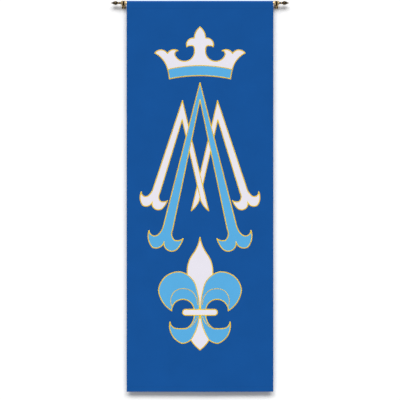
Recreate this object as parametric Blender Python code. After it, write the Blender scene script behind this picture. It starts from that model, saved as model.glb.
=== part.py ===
"""Church banner on a wall rod: an upright cloth panel with applied motifs, a brass rod with
spear finials, and two wall brackets with ring holders.

Frame: metres, +Z up, the front of the banner faces -Y. The origin is on the wall, midway
between the brackets, at the height of the rod's axis. The tables are in millimetres.
"""

import math

import bmesh
import bpy
import numpy as np
from mathutils import Matrix, Vector
from mathutils.geometry import delaunay_2d_cdt

MM = 0.001
NEARLY_NONE = 0.01
WELD = 0.001
SHARP_ANGLE = 35

# The cloth
BANNER_WIDTH = 914.0
BANNER_HEIGHT = 2438.0
CLOTH = 1.2
LAYER_GAP = 0.5
SEAM_DROP = 50.0
SLEEVE_TAIL = 8.0
HEM = 34.0

# The rod and its fittings
ROD_RADIUS = 11.5
STANDOFF = 30.0
CLEARANCE = 0.3
ROD_OVERHANG = 35.0
BRACKET_OUT = 20.5
PLATE_SIZE = (24.0, 3.5, 47.0)
PLATE_CENTRE_Z = -8.5
PLATE_CORNER = 3.0
ARM_SIZE = (10.0, 10.0)
ARM_ROOT = 1.0
ARM_SHORT_OF_BORE = 0.5
SCREW_PITCH = 13.5
SCREW_SLOT = (1.1, 1.0)
SCREW_Z = -26.8

# The applied pieces lie on the cloth's face, side by side, with gold edging between them
FILL_THICKNESS = 0.9
EDGING_THICKNESS = 1.5
EDGING_WIDTH = 6.5
RIB_WIDTH = 4.5
RIB_THICKNESS = 0.8
PIECE_GAP = 0.3
ARC_SAG = 0.7
MITRE_LIMIT = 1.3
INSIDE_LIMIT = 4.0
SMALLEST_PIECE = 60.0

# How many faces go round each turned piece, and how many steps a fold of cloth has
ROD_STEPS = 32
RING_STEPS = 28
FINIAL_STEPS = 24
SCREW_STEPS = 20
SLEEVE_STEPS = 26
HEM_STEPS = 6
CORNER_STEPS = 4

LAYER_PITCH = CLOTH + LAYER_GAP
FOLD_RADIUS = ROD_RADIUS + CLEARANCE + CLOTH / 2
CLOTH_TOP = FOLD_RADIUS + CLOTH / 2
BORE_RADIUS = ROD_RADIUS + CLEARANCE
ROD_END = BANNER_WIDTH / 2 + ROD_OVERHANG
FACE_Y = -STANDOFF - CLOTH_TOP
BASE_Z = CLOTH_TOP - BANNER_HEIGHT

# Outlines run anticlockwise seen from the front. Each row is a corner and how far the arc
# to the next corner swells outwards: x from the centre line, z above the motif's base, swell.
# A half outline goes from the centre line's foot to its top and is mirrored.
CROWN_BASE = 1951.0
CROWN_BODY = (
    (0, 82, -6),
    (201, 58, -14),
    (280, 160, 21),
    (203, 156, 14),
    (140, 175, -8),
    (156, 146, -52),
    (34, 174, 0),
    (35, 190, -8),
    (59, 206, -3),
    (82, 200, 20),
    (35, 252, 9),
    (0, 322, 0),
)
CROWN_BAND = (
    (0, 20, -5),
    (190, 0, -1),
    (201, 58, 6),
    (0, 82, 0),
)

FLEUR_BASE = 261.0
FLEUR_BAR = ((0, 216, 0), (90, 216, 18), (90, 252, 0), (0, 252, 0))
FLEUR_TOP_PETAL = (
    (0, 262, 0),
    (79, 460, 0),
    (79, 500, 7),
    (47, 592, -7),
    (0, 699, 0),
)
FLEUR_BOTTOM_PETAL = ((0, 0, 4), (56, 62, 0), (0, 205, 0))
FLEUR_PETAL = (
    (4, 232, 0),
    (36, 232, 0),
    (36, 250, -68),
    (177, 245, 17),
    (258, 370, 38),
    (120, 485, 15),
    (28, 405, 5),
    (4, 262, 0),
)
FLEUR_LEAF = (
    (4, 228, 12),
    (55, 65, 6),
    (112, 41, 28),
    (187, 172, -9),
    (150, 133, -2),
    (83, 133, -14),
    (36, 222, 0),
    (36, 236, 0),
    (4, 236, 0),
)
PETAL_RIB = ((15, 281, -8), (46, 361, -16), (150, 370, -17), (177, 274, 0))
LEAF_RIB = ((16, 205, 6), (63, 140, 0))

# A lancet is a pair of tapering legs under a point. Both kinds have the same foot, at their own
# size and turned outwards, about the middle of the leg's neck: the first row is the leg's inner
# side, the last its outer.
FOOT = (
    (-27.5, -14, -12),
    (-41.5, -80, -6),
    (-92.5, -70, 3),
    (-61.5, -128, 38),
    (24.5, -86, 20),
    (98.5, -121, 14),
    (118.5, -19, -20),
    (60.5, -43, -5),
    (27.5, 15, 0),
)
BLUE_APEX, BLUE_CROTCH = (0, 1924), (0, 1822)
BLUE_NECK, BLUE_FOOT_SIZE, BLUE_FOOT_TURN = (199, 1022.5), 1.0, 0.0
WHITE_APEX, WHITE_CROTCH = (109.5, 1812.5), (111, 1698)
WHITE_NECK, WHITE_FOOT_SIZE, WHITE_FOOT_TURN = (271.5, 1251), 0.79, 5.0
TAIL_TIP, TAIL_TIP_SWELL, TAIL_CORNER = (-53, 1130), 5, (-6, 1190)

# Turned shapes. A finial: distance past the rod's end, radius.
FINIAL = (
    (0.3, 0.0),
    (0.3, 8.7),
    (2.6, 8.7),
    (4.0, 7.0),
    (7.0, 6.1),
    (13.2, 6.1),
    (14.6, 7.5),
    (17.2, 7.5),
    (18.6, 6.2),
    (22.5, 7.0),
    (27.0, 9.7),
    (31.5, 11.4),
    (35.0, 11.8),
    (41.0, 10.6),
    (47.0, 8.1),
    (53.0, 5.4),
    (60.0, 2.7),
    (66.0, 0.0),
)
# One half of a bracket's ring with its bead: distance from the ring's middle, radius.
HOLDER_HALF = (
    (5.2, 13.4),
    (5.7, 14.4),
    (7.5, 15.1),
    (9.3, 14.4),
    (9.8, 13.4),
    (13.2, 13.4),
    (14.0, 12.7),
)
# A screw's domed head: height over its seat, radius.
SCREW_DOME = ((0.0, 4.5), (0.8, 4.5), (1.9, 3.4), (2.4, 1.8))

FINISHES = {
    "royal_blue_cloth": ((0.010, 0.085, 0.300), 0.75, 0.0),
    "white_cloth": ((0.76, 0.74, 0.82), 0.70, 0.0),
    "light_blue_cloth": ((0.100, 0.410, 0.750), 0.70, 0.0),
    "gold_thread": ((0.78, 0.47, 0.14), 0.45, 0.2),
    "aged_brass": ((0.42, 0.30, 0.14), 0.35, 1.0),
}


def clear_scene():
    for obj in list(bpy.data.objects):
        bpy.data.objects.remove(obj)


def finish(name):
    """The material of that name, made once."""
    if name in bpy.data.materials:
        return bpy.data.materials[name]
    colour, roughness, metallic = FINISHES[name]
    material = bpy.data.materials.new(name)
    material.use_nodes = True
    shader = material.node_tree.nodes["Principled BSDF"]
    shader.inputs["Base Color"].default_value = (*colour, 1.0)
    shader.inputs["Roughness"].default_value = roughness
    shader.inputs["Metallic"].default_value = metallic
    return material


def add_object(name, mesh, material, smooth=False):
    """Links a mesh given in millimetres as an object in metres."""
    mesh.transform(Matrix.Scale(MM, 4))
    if smooth:
        mesh.shade_smooth()
        mesh.set_sharp_from_angle(angle=math.radians(SHARP_ANGLE))
    obj = bpy.data.objects.new(name, mesh)
    obj.data.materials.append(finish(material))
    bpy.context.scene.collection.objects.link(obj)
    return obj


def mesh_of(points, faces):
    mesh = bpy.data.meshes.new("mesh")
    mesh.from_pydata([tuple(p) for p in points], [], [tuple(f) for f in faces])
    mesh.validate()
    return mesh


def outward(mesh):
    """Makes a closed mesh's faces point outwards, after welding its doubles."""
    shape = bmesh.new()
    shape.from_mesh(mesh)
    bmesh.ops.remove_doubles(shape, verts=shape.verts, dist=WELD)
    bmesh.ops.recalc_face_normals(shape, faces=shape.faces)
    shape.to_mesh(mesh)
    shape.free()
    return mesh


# Flat outlines


def arc(start, end, swell):
    """Points from start up to, but not with, end along an arc that swells to the right."""
    (x0, z0), (x1, z1) = start, end
    chord = math.hypot(x1 - x0, z1 - z0)
    if abs(swell) < NEARLY_NONE:
        return [start]
    radius = (chord * chord / 4 + swell * swell) / (2 * abs(swell))
    sweep = 4 * math.atan2(2 * abs(swell), chord)
    steps = max(2, math.ceil(sweep / (2 * math.acos(1 - ARC_SAG / radius))))
    right = ((z1 - z0) / chord, (x0 - x1) / chord)
    side = math.copysign(1.0, swell)
    inset = side * (radius - abs(swell))
    cx = (x0 + x1) / 2 - right[0] * inset
    cz = (z0 + z1) / 2 - right[1] * inset
    first = math.atan2(z0 - cz, x0 - cx)
    angles = [first + side * sweep * i / steps for i in range(steps)]
    return [(cx + radius * math.cos(a), cz + radius * math.sin(a)) for a in angles]


def walk(rows, closed=True):
    """The points along a table of corners and swells."""
    points = []
    for here, there in zip(rows, rows[1:] + rows[:1] if closed else rows[1:]):
        points += arc(here[:2], there[:2], here[2])
    return points if closed else [*points, rows[-1][:2]]


def mirrored(points):
    """The same outline on the other side of the centre line, still anticlockwise."""
    return [(-x, z) for x, z in reversed(points)]


def whole(half_rows):
    """A symmetric outline from its right half."""
    right = walk(half_rows, closed=False)
    return right + [(-x, z) for x, z in reversed(right) if x > NEARLY_NONE]


def raised(points, base):
    return [(x, z + base) for x, z in points]


def foot_rows(neck, size, turn):
    """The foot pattern at a size, turned by an angle in degrees about the neck."""
    across, up = size * math.cos(math.radians(turn)), size * math.sin(math.radians(turn))
    placed = [(neck[0] + x * across - z * up, neck[1] + x * up + z * across) for x, z, _ in FOOT]
    return tuple((*point, row[2] * size) for point, row in zip(placed, FOOT))


def blue_lancet():
    foot = foot_rows(BLUE_NECK, BLUE_FOOT_SIZE, BLUE_FOOT_TURN)
    return whole(((*BLUE_CROTCH, 0), *foot, (*BLUE_APEX, 0)))


def white_lancet():
    """The right-hand one: its inner leg runs over the centre line to a pointed tail."""
    rows = (
        (*WHITE_CROTCH, 0),
        *foot_rows(WHITE_NECK, WHITE_FOOT_SIZE, WHITE_FOOT_TURN),
        (*WHITE_APEX, 0),
        (*TAIL_TIP, TAIL_TIP_SWELL),
        (*TAIL_CORNER, 0),
    )
    return walk(rows)


def offset(points, distance):
    """A closed outline moved outwards, or inwards if distance is negative. Corners stay pointed,
    but the outside of a sharp one is cut off square."""
    count, moved = len(points), []
    for i in range(count):
        last, here, following = (Vector(points[k % count]) for k in (i - 1, i, i + 1))
        run_in, run_out = (here - last).normalized(), (following - here).normalized()
        side_in, side_out = (Vector((run.y, -run.x)) for run in (run_in, run_out))
        middle = (side_in + side_out).normalized()
        spread = max(middle.dot(side_out), 1 / INSIDE_LIMIT)
        is_outside = run_in.cross(run_out) * distance > 0
        if is_outside and spread * MITRE_LIMIT < 1:
            reach = (MITRE_LIMIT - spread) * abs(distance) / math.sqrt(1 - spread * spread)
            moved.append(here + side_in * distance + run_in * reach)
            moved.append(here + side_out * distance - run_out * reach)
        else:
            moved.append(here + middle * distance / spread)
    return [tuple(point) for point in moved]


def stroke(points, width):
    """The outline of a line of that width along open points."""
    line = [Vector(p) for p in points]
    sides = []
    for i, here in enumerate(line):
        along = (line[min(i + 1, len(line) - 1)] - line[max(i - 1, 0)]).normalized()
        sides.append((here, Vector((along.y, -along.x)) * width / 2))
    right = [tuple(p + n) for p, n in sides]
    left = [tuple(p - n) for p, n in reversed(sides)]
    return right + left


def winding(centres, starts, ends):
    """How many times the edges go anticlockwise round each centre."""
    x, z = centres[:, :1], centres[:, 1:]
    side = (ends[:, 0] - starts[:, 0]) * (z - starts[:, 1])
    side = side - (x - starts[:, 0]) * (ends[:, 1] - starts[:, 1])
    up = (starts[:, 1] <= z) & (ends[:, 1] > z) & (side > 0)
    down = (starts[:, 1] > z) & (ends[:, 1] <= z) & (side < 0)
    return up.sum(1) - down.sum(1)


def is_inside(centres, outline):
    ring = np.array(outline)
    return winding(centres, ring, np.roll(ring, -1, axis=0)) > 0


def triangulated(points, edges):
    """Points and triangles of a flat net that has every edge in it."""
    found = delaunay_2d_cdt([Vector(p) for p in points], edges, [], 0, WELD / 10)
    return np.array([tuple(p) for p in found[0]]), np.array([tuple(f) for f in found[2]])


def rim_of(triangles):
    """The directed edges that only one triangle has."""
    sides = [(int(a), int(b)) for t in triangles for a, b in zip(t, np.roll(t, -1))]
    both = set(sides)
    return [(a, b) for a, b in sides if (b, a) not in both]


def simplified(points, triangles):
    """The same region with no points left inside it."""
    rim = rim_of(triangles)
    used = sorted({i for edge in rim for i in edge})
    place = {old: new for new, old in enumerate(used)}
    edges = [(place[a], place[b]) for a, b in rim]
    flat = points[used]
    starts, ends = (flat[[edge[k] for edge in edges]] for k in range(2))
    flat, triangles = triangulated(flat, edges)
    return flat, triangles[winding(flat[triangles].mean(axis=1), starts, ends) > 0]


class Motif:
    """Overlapping outlines, lowest first, cut so that only what shows of each is left.

    Each outline is the middle of its edging. Its rings are the edging's outer and inner sides,
    what pieces below keep clear of, and the piece's own rim.
    """

    def __init__(self, outlines):
        half, gap = EDGING_WIDTH / 2, PIECE_GAP / 2
        self.names = list(outlines)
        self.rings = {
            name: {
                "edge": offset(outline, half),
                "clear": offset(outline, half + 2 * gap),
                "hole": offset(outline, gap - half),
                "fill": offset(outline, -gap - half),
            }
            for name, outline in outlines.items()
        }
        points, edges = [], []
        for rings in self.rings.values():
            for ring in rings.values():
                first, count = len(points), len(ring)
                points += ring
                edges += [(first + i, first + (i + 1) % count) for i in range(count)]
        self.points, self.triangles = triangulated(points, edges)
        centres = self.points[self.triangles].mean(axis=1)
        self.inside = {
            (name, kind): is_inside(centres, ring)
            for name, rings in self.rings.items()
            for kind, ring in rings.items()
        }

    def edging(self):
        """Triangles of the gold edging of every piece where nothing lies over it."""
        gold = np.zeros(len(self.triangles), bool)
        for name in self.names:
            edge = self.inside[name, "edge"]
            gold = np.where(edge, ~self.inside[name, "hole"], gold)
        return self.triangles[gold]

    def fill(self, name):
        """Triangles of what shows of one piece inside its edging."""
        shown = self.inside[name, "fill"] & self.inside[name, "hole"]
        for upper in self.names[self.names.index(name) + 1 :]:
            shown &= ~self.inside[upper, "clear"]
        return self.triangles[shown]


def separate(triangles):
    """The triangles in groups that share edges, in their own order."""
    by_edge = {}
    for i, corners in enumerate(triangles):
        for a, b in zip(corners, np.roll(corners, -1)):
            by_edge.setdefault((min(a, b), max(a, b)), []).append(i)
    neighbours = {i: set() for i in range(len(triangles))}
    for sharing in by_edge.values():
        for i in sharing:
            neighbours[i].update(sharing)
    groups, left = [], set(neighbours)
    while left:
        group, todo = set(), [min(left)]
        while todo:
            i = todo.pop()
            if i in left:
                left.discard(i)
                group.add(i)
                todo += neighbours[i]
        groups.append(triangles[sorted(group)])
    return groups


def area(points, triangles):
    a, b, c = (points[triangles[:, i]] for i in range(3))
    return float(np.abs(np.cross(b - a, c - a)).sum() / 2)


def plate(name, points, triangles, back_y, thickness, material):
    """A flat piece: the triangles' region as its front, with walls back to the cloth's side."""
    flat, front = simplified(points, triangles)
    count = len(flat)
    corners = [(x, back_y - thickness, z) for x, z in flat]
    corners += [(x, back_y, z) for x, z in flat]
    faces = [tuple(f) for f in front]
    faces += [tuple(count + i for i in reversed(f)) for f in front]
    faces += [(b, a, a + count, b + count) for a, b in rim_of(front)]
    return add_object(name, mesh_of(corners, faces), material)


def add_fills(motif, name, material):
    """The bodies that show of one piece; more than one where another piece crosses it."""
    groups = [g for g in separate(motif.fill(name)) if area(motif.points, g) > SMALLEST_PIECE]
    groups.sort(key=lambda g: (-motif.points[g].mean(axis=(0, 1))[1]))
    for number, group in enumerate(groups, start=1):
        label = name if len(groups) == 1 else f"{name}_{number}"
        plate(label, motif.points, group, FACE_Y - PIECE_GAP, FILL_THICKNESS, material)


def add_motif(edging_name, pieces):
    """pieces: name to (outline, material), lowest first."""
    motif = Motif({name: raised(outline, BASE_Z) for name, (outline, _) in pieces.items()})
    for name, (_, material) in pieces.items():
        add_fills(motif, name, material)
    plate(
        edging_name,
        motif.points,
        motif.edging(),
        FACE_Y - PIECE_GAP,
        EDGING_THICKNESS,
        "gold_thread",
    )


def add_crown():
    add_motif(
        "crown_edging",
        {
            "crown_body": (raised(whole(CROWN_BODY), CROWN_BASE), "white_cloth"),
            "crown_band": (raised(whole(CROWN_BAND), CROWN_BASE), "light_blue_cloth"),
        },
    )


def add_lancets():
    right = white_lancet()
    add_motif(
        "lancet_edging",
        {
            "lancet_white_right": (right, "white_cloth"),
            "lancet_white_left": (mirrored(right), "white_cloth"),
            "lancet_blue": (blue_lancet(), "light_blue_cloth"),
        },
    )


def add_rib(name, rows, flip):
    """A gold line worked on a petal, lying on the petal's face."""
    line = raised(walk(rows, closed=False), FLEUR_BASE + BASE_Z)
    outline = stroke(line, RIB_WIDTH)
    outline = mirrored(outline) if flip else outline
    edges = [(i, (i + 1) % len(outline)) for i in range(len(outline))]
    flat, triangles = triangulated(outline, edges)
    shown = is_inside(flat[triangles].mean(axis=1), outline)
    back = FACE_Y - FILL_THICKNESS - 2 * PIECE_GAP
    plate(name, flat, triangles[shown], back, RIB_THICKNESS, "gold_thread")


def add_fleur():
    petal = raised(walk(FLEUR_PETAL), FLEUR_BASE)
    leaf = raised(walk(FLEUR_LEAF), FLEUR_BASE)
    add_motif(
        "fleur_edging",
        {
            "fleur_top_petal": (raised(whole(FLEUR_TOP_PETAL), FLEUR_BASE), "white_cloth"),
            "fleur_bottom_petal": (raised(whole(FLEUR_BOTTOM_PETAL), FLEUR_BASE), "white_cloth"),
            "fleur_petal_left": (mirrored(petal), "light_blue_cloth"),
            "fleur_petal_right": (petal, "light_blue_cloth"),
            "fleur_leaf_left": (mirrored(leaf), "light_blue_cloth"),
            "fleur_leaf_right": (leaf, "light_blue_cloth"),
            "fleur_bar": (raised(whole(FLEUR_BAR), FLEUR_BASE), "white_cloth"),
        },
    )
    for side, flip in (("left", True), ("right", False)):
        add_rib(f"fleur_petal_rib_{side}", PETAL_RIB, flip)
        add_rib(f"fleur_leaf_rib_{side}", LEAF_RIB, flip)


# The cloth, as it hangs: one sheet, over the rod and turned up at the foot


def cloth_line():
    """The cloth's middle line in the y-z plane, from the sleeve's turned end over the rod,
    plumb down the front and round the hem to the hem's turned end."""
    inner_y, seam_z = LAYER_PITCH - FOLD_RADIUS, CLOTH_TOP - SEAM_DROP
    lean = math.acos(FOLD_RADIUS / math.hypot(inner_y, seam_z))
    back = math.atan2(seam_z, inner_y) + lean
    line = [(inner_y, seam_z - SLEEVE_TAIL), (inner_y, seam_z)]
    for i in range(SLEEVE_STEPS + 1):
        turn = back + (math.pi - back) * i / SLEEVE_STEPS
        line.append((FOLD_RADIUS * math.cos(turn), FOLD_RADIUS * math.sin(turn)))
    half = LAYER_PITCH / 2
    fold_y, fold_z = half - FOLD_RADIUS, BASE_Z + CLOTH / 2 + half
    for i in range(HEM_STEPS + 1):
        turn = math.pi + math.pi * i / HEM_STEPS
        line.append((fold_y + half * math.cos(turn), fold_z + half * math.sin(turn)))
    line.append((inner_y, BASE_Z + HEM))
    return [(y - STANDOFF, z) for y, z in line]


def add_panel():
    line = cloth_line()
    half = BANNER_WIDTH / 2
    points = [(x, y, z) for y, z in line for x in (-half, half)]
    faces = [(2 * i, 2 * i + 1, 2 * i + 3, 2 * i + 2) for i in range(len(line) - 1)]
    panel = add_object("banner_panel", mesh_of(points, faces), "royal_blue_cloth", smooth=True)
    wall = panel.modifiers.new("cloth", "SOLIDIFY")
    wall.thickness = CLOTH * MM
    wall.offset = 0.0
    wall.use_even_offset = True
    return panel


# The rod and its fittings


def turned(rows, steps, start_x, side, closed=False):
    """A shape turned about the rod's axis, from rows of distance along it and radius.
    Closed joins the last row to the first, for a ring."""
    points, faces, rings = [], [], []
    for along, radius in rows:
        x = side * (start_x + along)
        rings.append(list(range(len(points), len(points) + (steps if radius else 1))))
        for i in range(len(rings[-1])):
            turn = 2 * math.pi * i / steps
            points.append((x, -STANDOFF + radius * math.cos(turn), radius * math.sin(turn)))
    for a, b in zip(rings, rings[1:] + rings[:1] if closed else rings[1:]):
        for i in range(steps):
            j = (i + 1) % steps
            corners = (a[i % len(a)], a[j % len(a)], b[j % len(b)], b[i % len(b)])
            faces.append(tuple(dict.fromkeys(corners)))
    return outward(mesh_of(points, faces))


def add_rod():
    rows = ((0, 0), (0, ROD_RADIUS), (2 * ROD_END, ROD_RADIUS), (2 * ROD_END, 0))
    add_object("rod", turned(rows, ROD_STEPS, -ROD_END, 1), "aged_brass", smooth=True)


def box(size, centre):
    shape = bmesh.new()
    bmesh.ops.create_cube(shape, size=1.0)
    bmesh.ops.scale(shape, verts=shape.verts, vec=size)
    bmesh.ops.translate(shape, verts=shape.verts, vec=centre)
    mesh = bpy.data.meshes.new("box")
    shape.to_mesh(mesh)
    shape.free()
    return mesh


def combine(target, operation, name, mesh):
    """Joins a shape to the target, or cuts it away."""
    tool = add_object(name, mesh, "aged_brass")
    tool.hide_render = True
    tool.display_type = "WIRE"
    modifier = target.modifiers.new(name, "BOOLEAN")
    modifier.operation = operation
    modifier.object = tool


def wall_plate(centre_x):
    """The bracket's plate, its corners rounded, flat against the wall."""
    half_depth = PLATE_SIZE[1] / 2
    mesh = box(PLATE_SIZE, (centre_x, -half_depth, PLATE_CENTRE_Z))
    shape = bmesh.new()
    shape.from_mesh(mesh)
    corners = [e for e in shape.edges if abs(e.verts[0].co.y - e.verts[1].co.y) > half_depth]
    round_over = {"segments": CORNER_STEPS, "affect": "EDGES", "profile": 0.5}
    bmesh.ops.bevel(shape, geom=corners, offset=PLATE_CORNER, **round_over)
    shape.to_mesh(mesh)
    shape.free()
    return mesh


def add_bracket(side_name, side):
    """A wall plate with an arm to the beaded ring that the rod passes through."""
    centre_x = side * (BANNER_WIDTH / 2 + BRACKET_OUT)
    name = f"bracket_{side_name}"
    bracket = add_object(name, wall_plate(centre_x), "aged_brass", smooth=True)
    arm_end = STANDOFF - BORE_RADIUS - ARM_SHORT_OF_BORE
    arm_size = (ARM_SIZE[0], arm_end - ARM_ROOT, ARM_SIZE[1])
    arm = box(arm_size, (centre_x, -(arm_end + ARM_ROOT) / 2, 0))
    combine(bracket, "UNION", f"{name}_arm", arm)
    outside = [(-along, radius) for along, radius in reversed(HOLDER_HALF)] + list(HOLDER_HALF)
    half = HOLDER_HALF[-1][0]
    rows = [*outside, (half, BORE_RADIUS), (-half, BORE_RADIUS)]
    combine(bracket, "UNION", f"{name}_ring", turned(rows, RING_STEPS, centre_x, 1, closed=True))
    for number, s in enumerate((-1, 1), start=1):
        add_screw(f"screw_{side_name}_{number}", centre_x + s * SCREW_PITCH / 2)


def add_screw(name, x):
    """A domed screw head with a slot, standing just off the plate."""
    seat = -PLATE_SIZE[1] - CLEARANCE
    points = []
    for height, radius in SCREW_DOME:
        for i in range(SCREW_STEPS):
            turn = 2 * math.pi * i / SCREW_STEPS
            across, up = radius * math.cos(turn), radius * math.sin(turn)
            points.append((x + across, seat - height, SCREW_Z + up))
    rings = [range(k * SCREW_STEPS, (k + 1) * SCREW_STEPS) for k in range(len(SCREW_DOME))]
    faces = [tuple(rings[0]), tuple(rings[-1])]
    for a, b in zip(rings, rings[1:]):
        faces += [(a[i - 1], a[i], b[i], b[i - 1]) for i in range(SCREW_STEPS)]
    head = add_object(name, outward(mesh_of(points, faces)), "aged_brass")
    top, radius = seat - SCREW_DOME[-1][0], SCREW_DOME[0][1]
    width, depth = SCREW_SLOT
    slot = box((3 * radius, 2 * depth, width), (x, top, SCREW_Z))
    combine(head, "DIFFERENCE", f"{name}_slot", slot)


def main():
    clear_scene()
    add_panel()
    add_crown()
    add_lancets()
    add_fleur()
    add_rod()
    for side_name, side in (("left", -1), ("right", 1)):
        finial = turned(FINIAL, FINIAL_STEPS, ROD_END, side)
        add_object(f"finial_{side_name}", finial, "aged_brass", smooth=True)
        add_bracket(side_name, side)


main()
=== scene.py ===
"""A church banner in blue cloth with applied motifs edged in gold, on a brass wall rod.

Sizes are in millimetres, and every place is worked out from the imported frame, which faces -Y
with its origin on the wall at the height of the rod's axis.
"""

from __future__ import annotations

import logging
import math
from collections.abc import Iterable, Sequence
from dataclasses import dataclass, field
from enum import Enum

import bmesh
import bpy
import numpy as np
from mathutils import Matrix, Vector
from mathutils.geometry import delaunay_2d_cdt

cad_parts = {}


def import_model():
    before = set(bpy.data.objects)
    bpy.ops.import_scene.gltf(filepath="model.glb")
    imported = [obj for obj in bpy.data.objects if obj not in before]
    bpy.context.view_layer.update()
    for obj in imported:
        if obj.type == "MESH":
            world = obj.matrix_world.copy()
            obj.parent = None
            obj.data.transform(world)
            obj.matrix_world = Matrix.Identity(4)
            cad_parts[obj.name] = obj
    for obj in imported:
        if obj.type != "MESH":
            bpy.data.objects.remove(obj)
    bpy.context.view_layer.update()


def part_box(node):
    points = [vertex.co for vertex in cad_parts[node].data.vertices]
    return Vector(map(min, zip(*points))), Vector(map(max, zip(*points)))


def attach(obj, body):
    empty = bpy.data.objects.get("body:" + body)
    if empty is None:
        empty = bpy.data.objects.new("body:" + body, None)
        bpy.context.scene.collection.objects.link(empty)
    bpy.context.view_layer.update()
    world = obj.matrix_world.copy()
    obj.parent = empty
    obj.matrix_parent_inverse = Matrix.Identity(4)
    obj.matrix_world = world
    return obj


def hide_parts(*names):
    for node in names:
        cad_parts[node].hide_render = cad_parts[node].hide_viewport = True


LOG = logging.getLogger("banner")
MM = 0.001
TURN = 2 * math.pi
BODY = "root"

# How far a parallel outline may reach at its outer and inner corners, as a share of its offset.
MITRE_LIMIT, INSIDE_LIMIT = 1.3, 3.0
# How far straight pieces may stray from an arc, in cut cloth and in turned metal.
CLOTH_SAG, METAL_SAG = 0.12, 0.02
# How near a point may be to the centre line, or to its twin, and count as on it.
ON_CENTRE, WELD = 0.01, 0.002
# How many places are compared with a set of edges at a time.
BATCH = 1500
# How worn a flat stretch of metal is, and how much more a raised edge of 1 mm radius is.
WORN, EDGE_WEAR = 0.35, 1.6
# The gap between the cloth and the work on it, and how far below its fold the cloth hangs flat.
PIECE_GAP, FLAT_DROP = 0.3, 60.0

Point = tuple[float, float]
Row = tuple[float, float, float]
Colour = tuple[float, float, float]
Value = "Signal | float | int | bool | tuple | bpy.types.ID"


class Side(Enum):
    """The two ends of the rod, seen from the front."""

    LEFT = -1
    RIGHT = 1

    @property
    def label(self) -> str:
        """The side's word in the names of nodes and pieces."""
        return self.name.lower()


class Slot(Enum):
    """The record's material slots."""

    BLUE = "royal_blue_cloth"
    WHITE = "white_cloth"
    SKY = "light_blue_cloth"
    GOLD = "gold_thread"
    BRASS = "aged_brass"


# Node graphs


class Signal:
    """A node's output that can be used in sums."""

    def __init__(self, graph: Graph, socket: bpy.types.NodeSocket) -> None:
        """Wraps a socket.

        Args:
            graph: The graph that the socket's node is in.
            socket: The output socket.
        """
        self.graph = graph
        self.socket = socket

    def math(self, operation: str, *others: Value) -> Signal:
        """Puts this signal through a Math node.

        Args:
            operation: The Math node's operation.
            others: Its second and third values.

        Returns:
            The node's result.
        """
        values = dict(enumerate((self, *others)))
        return self.graph.node("ShaderNodeMath", {"operation": operation}, values)

    def __add__(self, other: Value) -> Signal:
        """Sum."""
        return self.math("ADD", other)

    def __radd__(self, other: Value) -> Signal:
        """Sum with a number on the left."""
        return self.math("ADD", other)

    def __sub__(self, other: Value) -> Signal:
        """Difference."""
        return self.math("SUBTRACT", other)

    def __rsub__(self, other: Value) -> Signal:
        """Difference from a number on the left."""
        return (self * -1.0) + other

    def __mul__(self, other: Value) -> Signal:
        """Product."""
        return self.math("MULTIPLY", other)

    def __rmul__(self, other: Value) -> Signal:
        """Product with a number on the left."""
        return self.math("MULTIPLY", other)

    def sine(self) -> Signal:
        """Sine of an angle in radians."""
        return self.math("SINE")

    def magnitude(self) -> Signal:
        """Absolute value."""
        return self.math("ABSOLUTE")

    def over(self, limit: float) -> Signal:
        """1 where the signal is over a limit, else 0."""
        return self.math("GREATER_THAN", limit)

    def clamped(self) -> Signal:
        """The signal held between 0 and 1."""
        return self.graph.node("ShaderNodeClamp", inputs={"Value": self})

    def beside(self, output: int | str) -> Signal:
        """Another output of the same node."""
        return Signal(self.graph, self.socket.node.outputs[output])


class Graph:
    """A node tree that is added to one node at a time."""

    def __init__(self, tree: bpy.types.NodeTree) -> None:
        """Starts on a tree.

        Args:
            tree: A shader or geometry node tree.
        """
        self.tree = tree

    def node(
        self,
        kind: str,
        settings: dict[str, object] | None = None,
        inputs: dict[int | str, Value | list[Signal]] | None = None,
        output: int | str = 0,
    ) -> Signal:
        """Adds a node.

        Args:
            kind: The node's type.
            settings: Its properties; "stops" are a ramp's places and colours.
            inputs: Values or links by socket name or number; a list feeds one socket many links.
            output: The output to return.

        Returns:
            That output as a signal.
        """
        made = self.tree.nodes.new(kind)
        for name, value in (settings or {}).items():
            if name == "stops":
                self._set_stops(made.color_ramp, value)
            else:
                setattr(made, name, value)
        for key, value in (inputs or {}).items():
            for item in value if isinstance(value, list) else [value]:
                self._feed(made.inputs[key], item)
        return Signal(self, made.outputs[output]) if len(made.outputs) else Signal(self, None)

    def _feed(self, socket: bpy.types.NodeSocket, value: Value) -> None:
        """Links a signal to a socket, or sets its value."""
        if isinstance(value, Signal):
            self.tree.links.new(value.socket, socket)
        else:
            socket.default_value = value

    @staticmethod
    def _set_stops(ramp: bpy.types.ColorRamp, stops: Sequence[tuple[float, Colour]]) -> None:
        """Replaces a ramp's stops."""
        while len(ramp.elements) > 1:
            ramp.elements.remove(ramp.elements[-1])
        for number, (place, colour) in enumerate(stops):
            stop = ramp.elements[0] if number == 0 else ramp.elements.new(place)
            stop.position = place
            stop.color = (*colour, 1.0)


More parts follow.
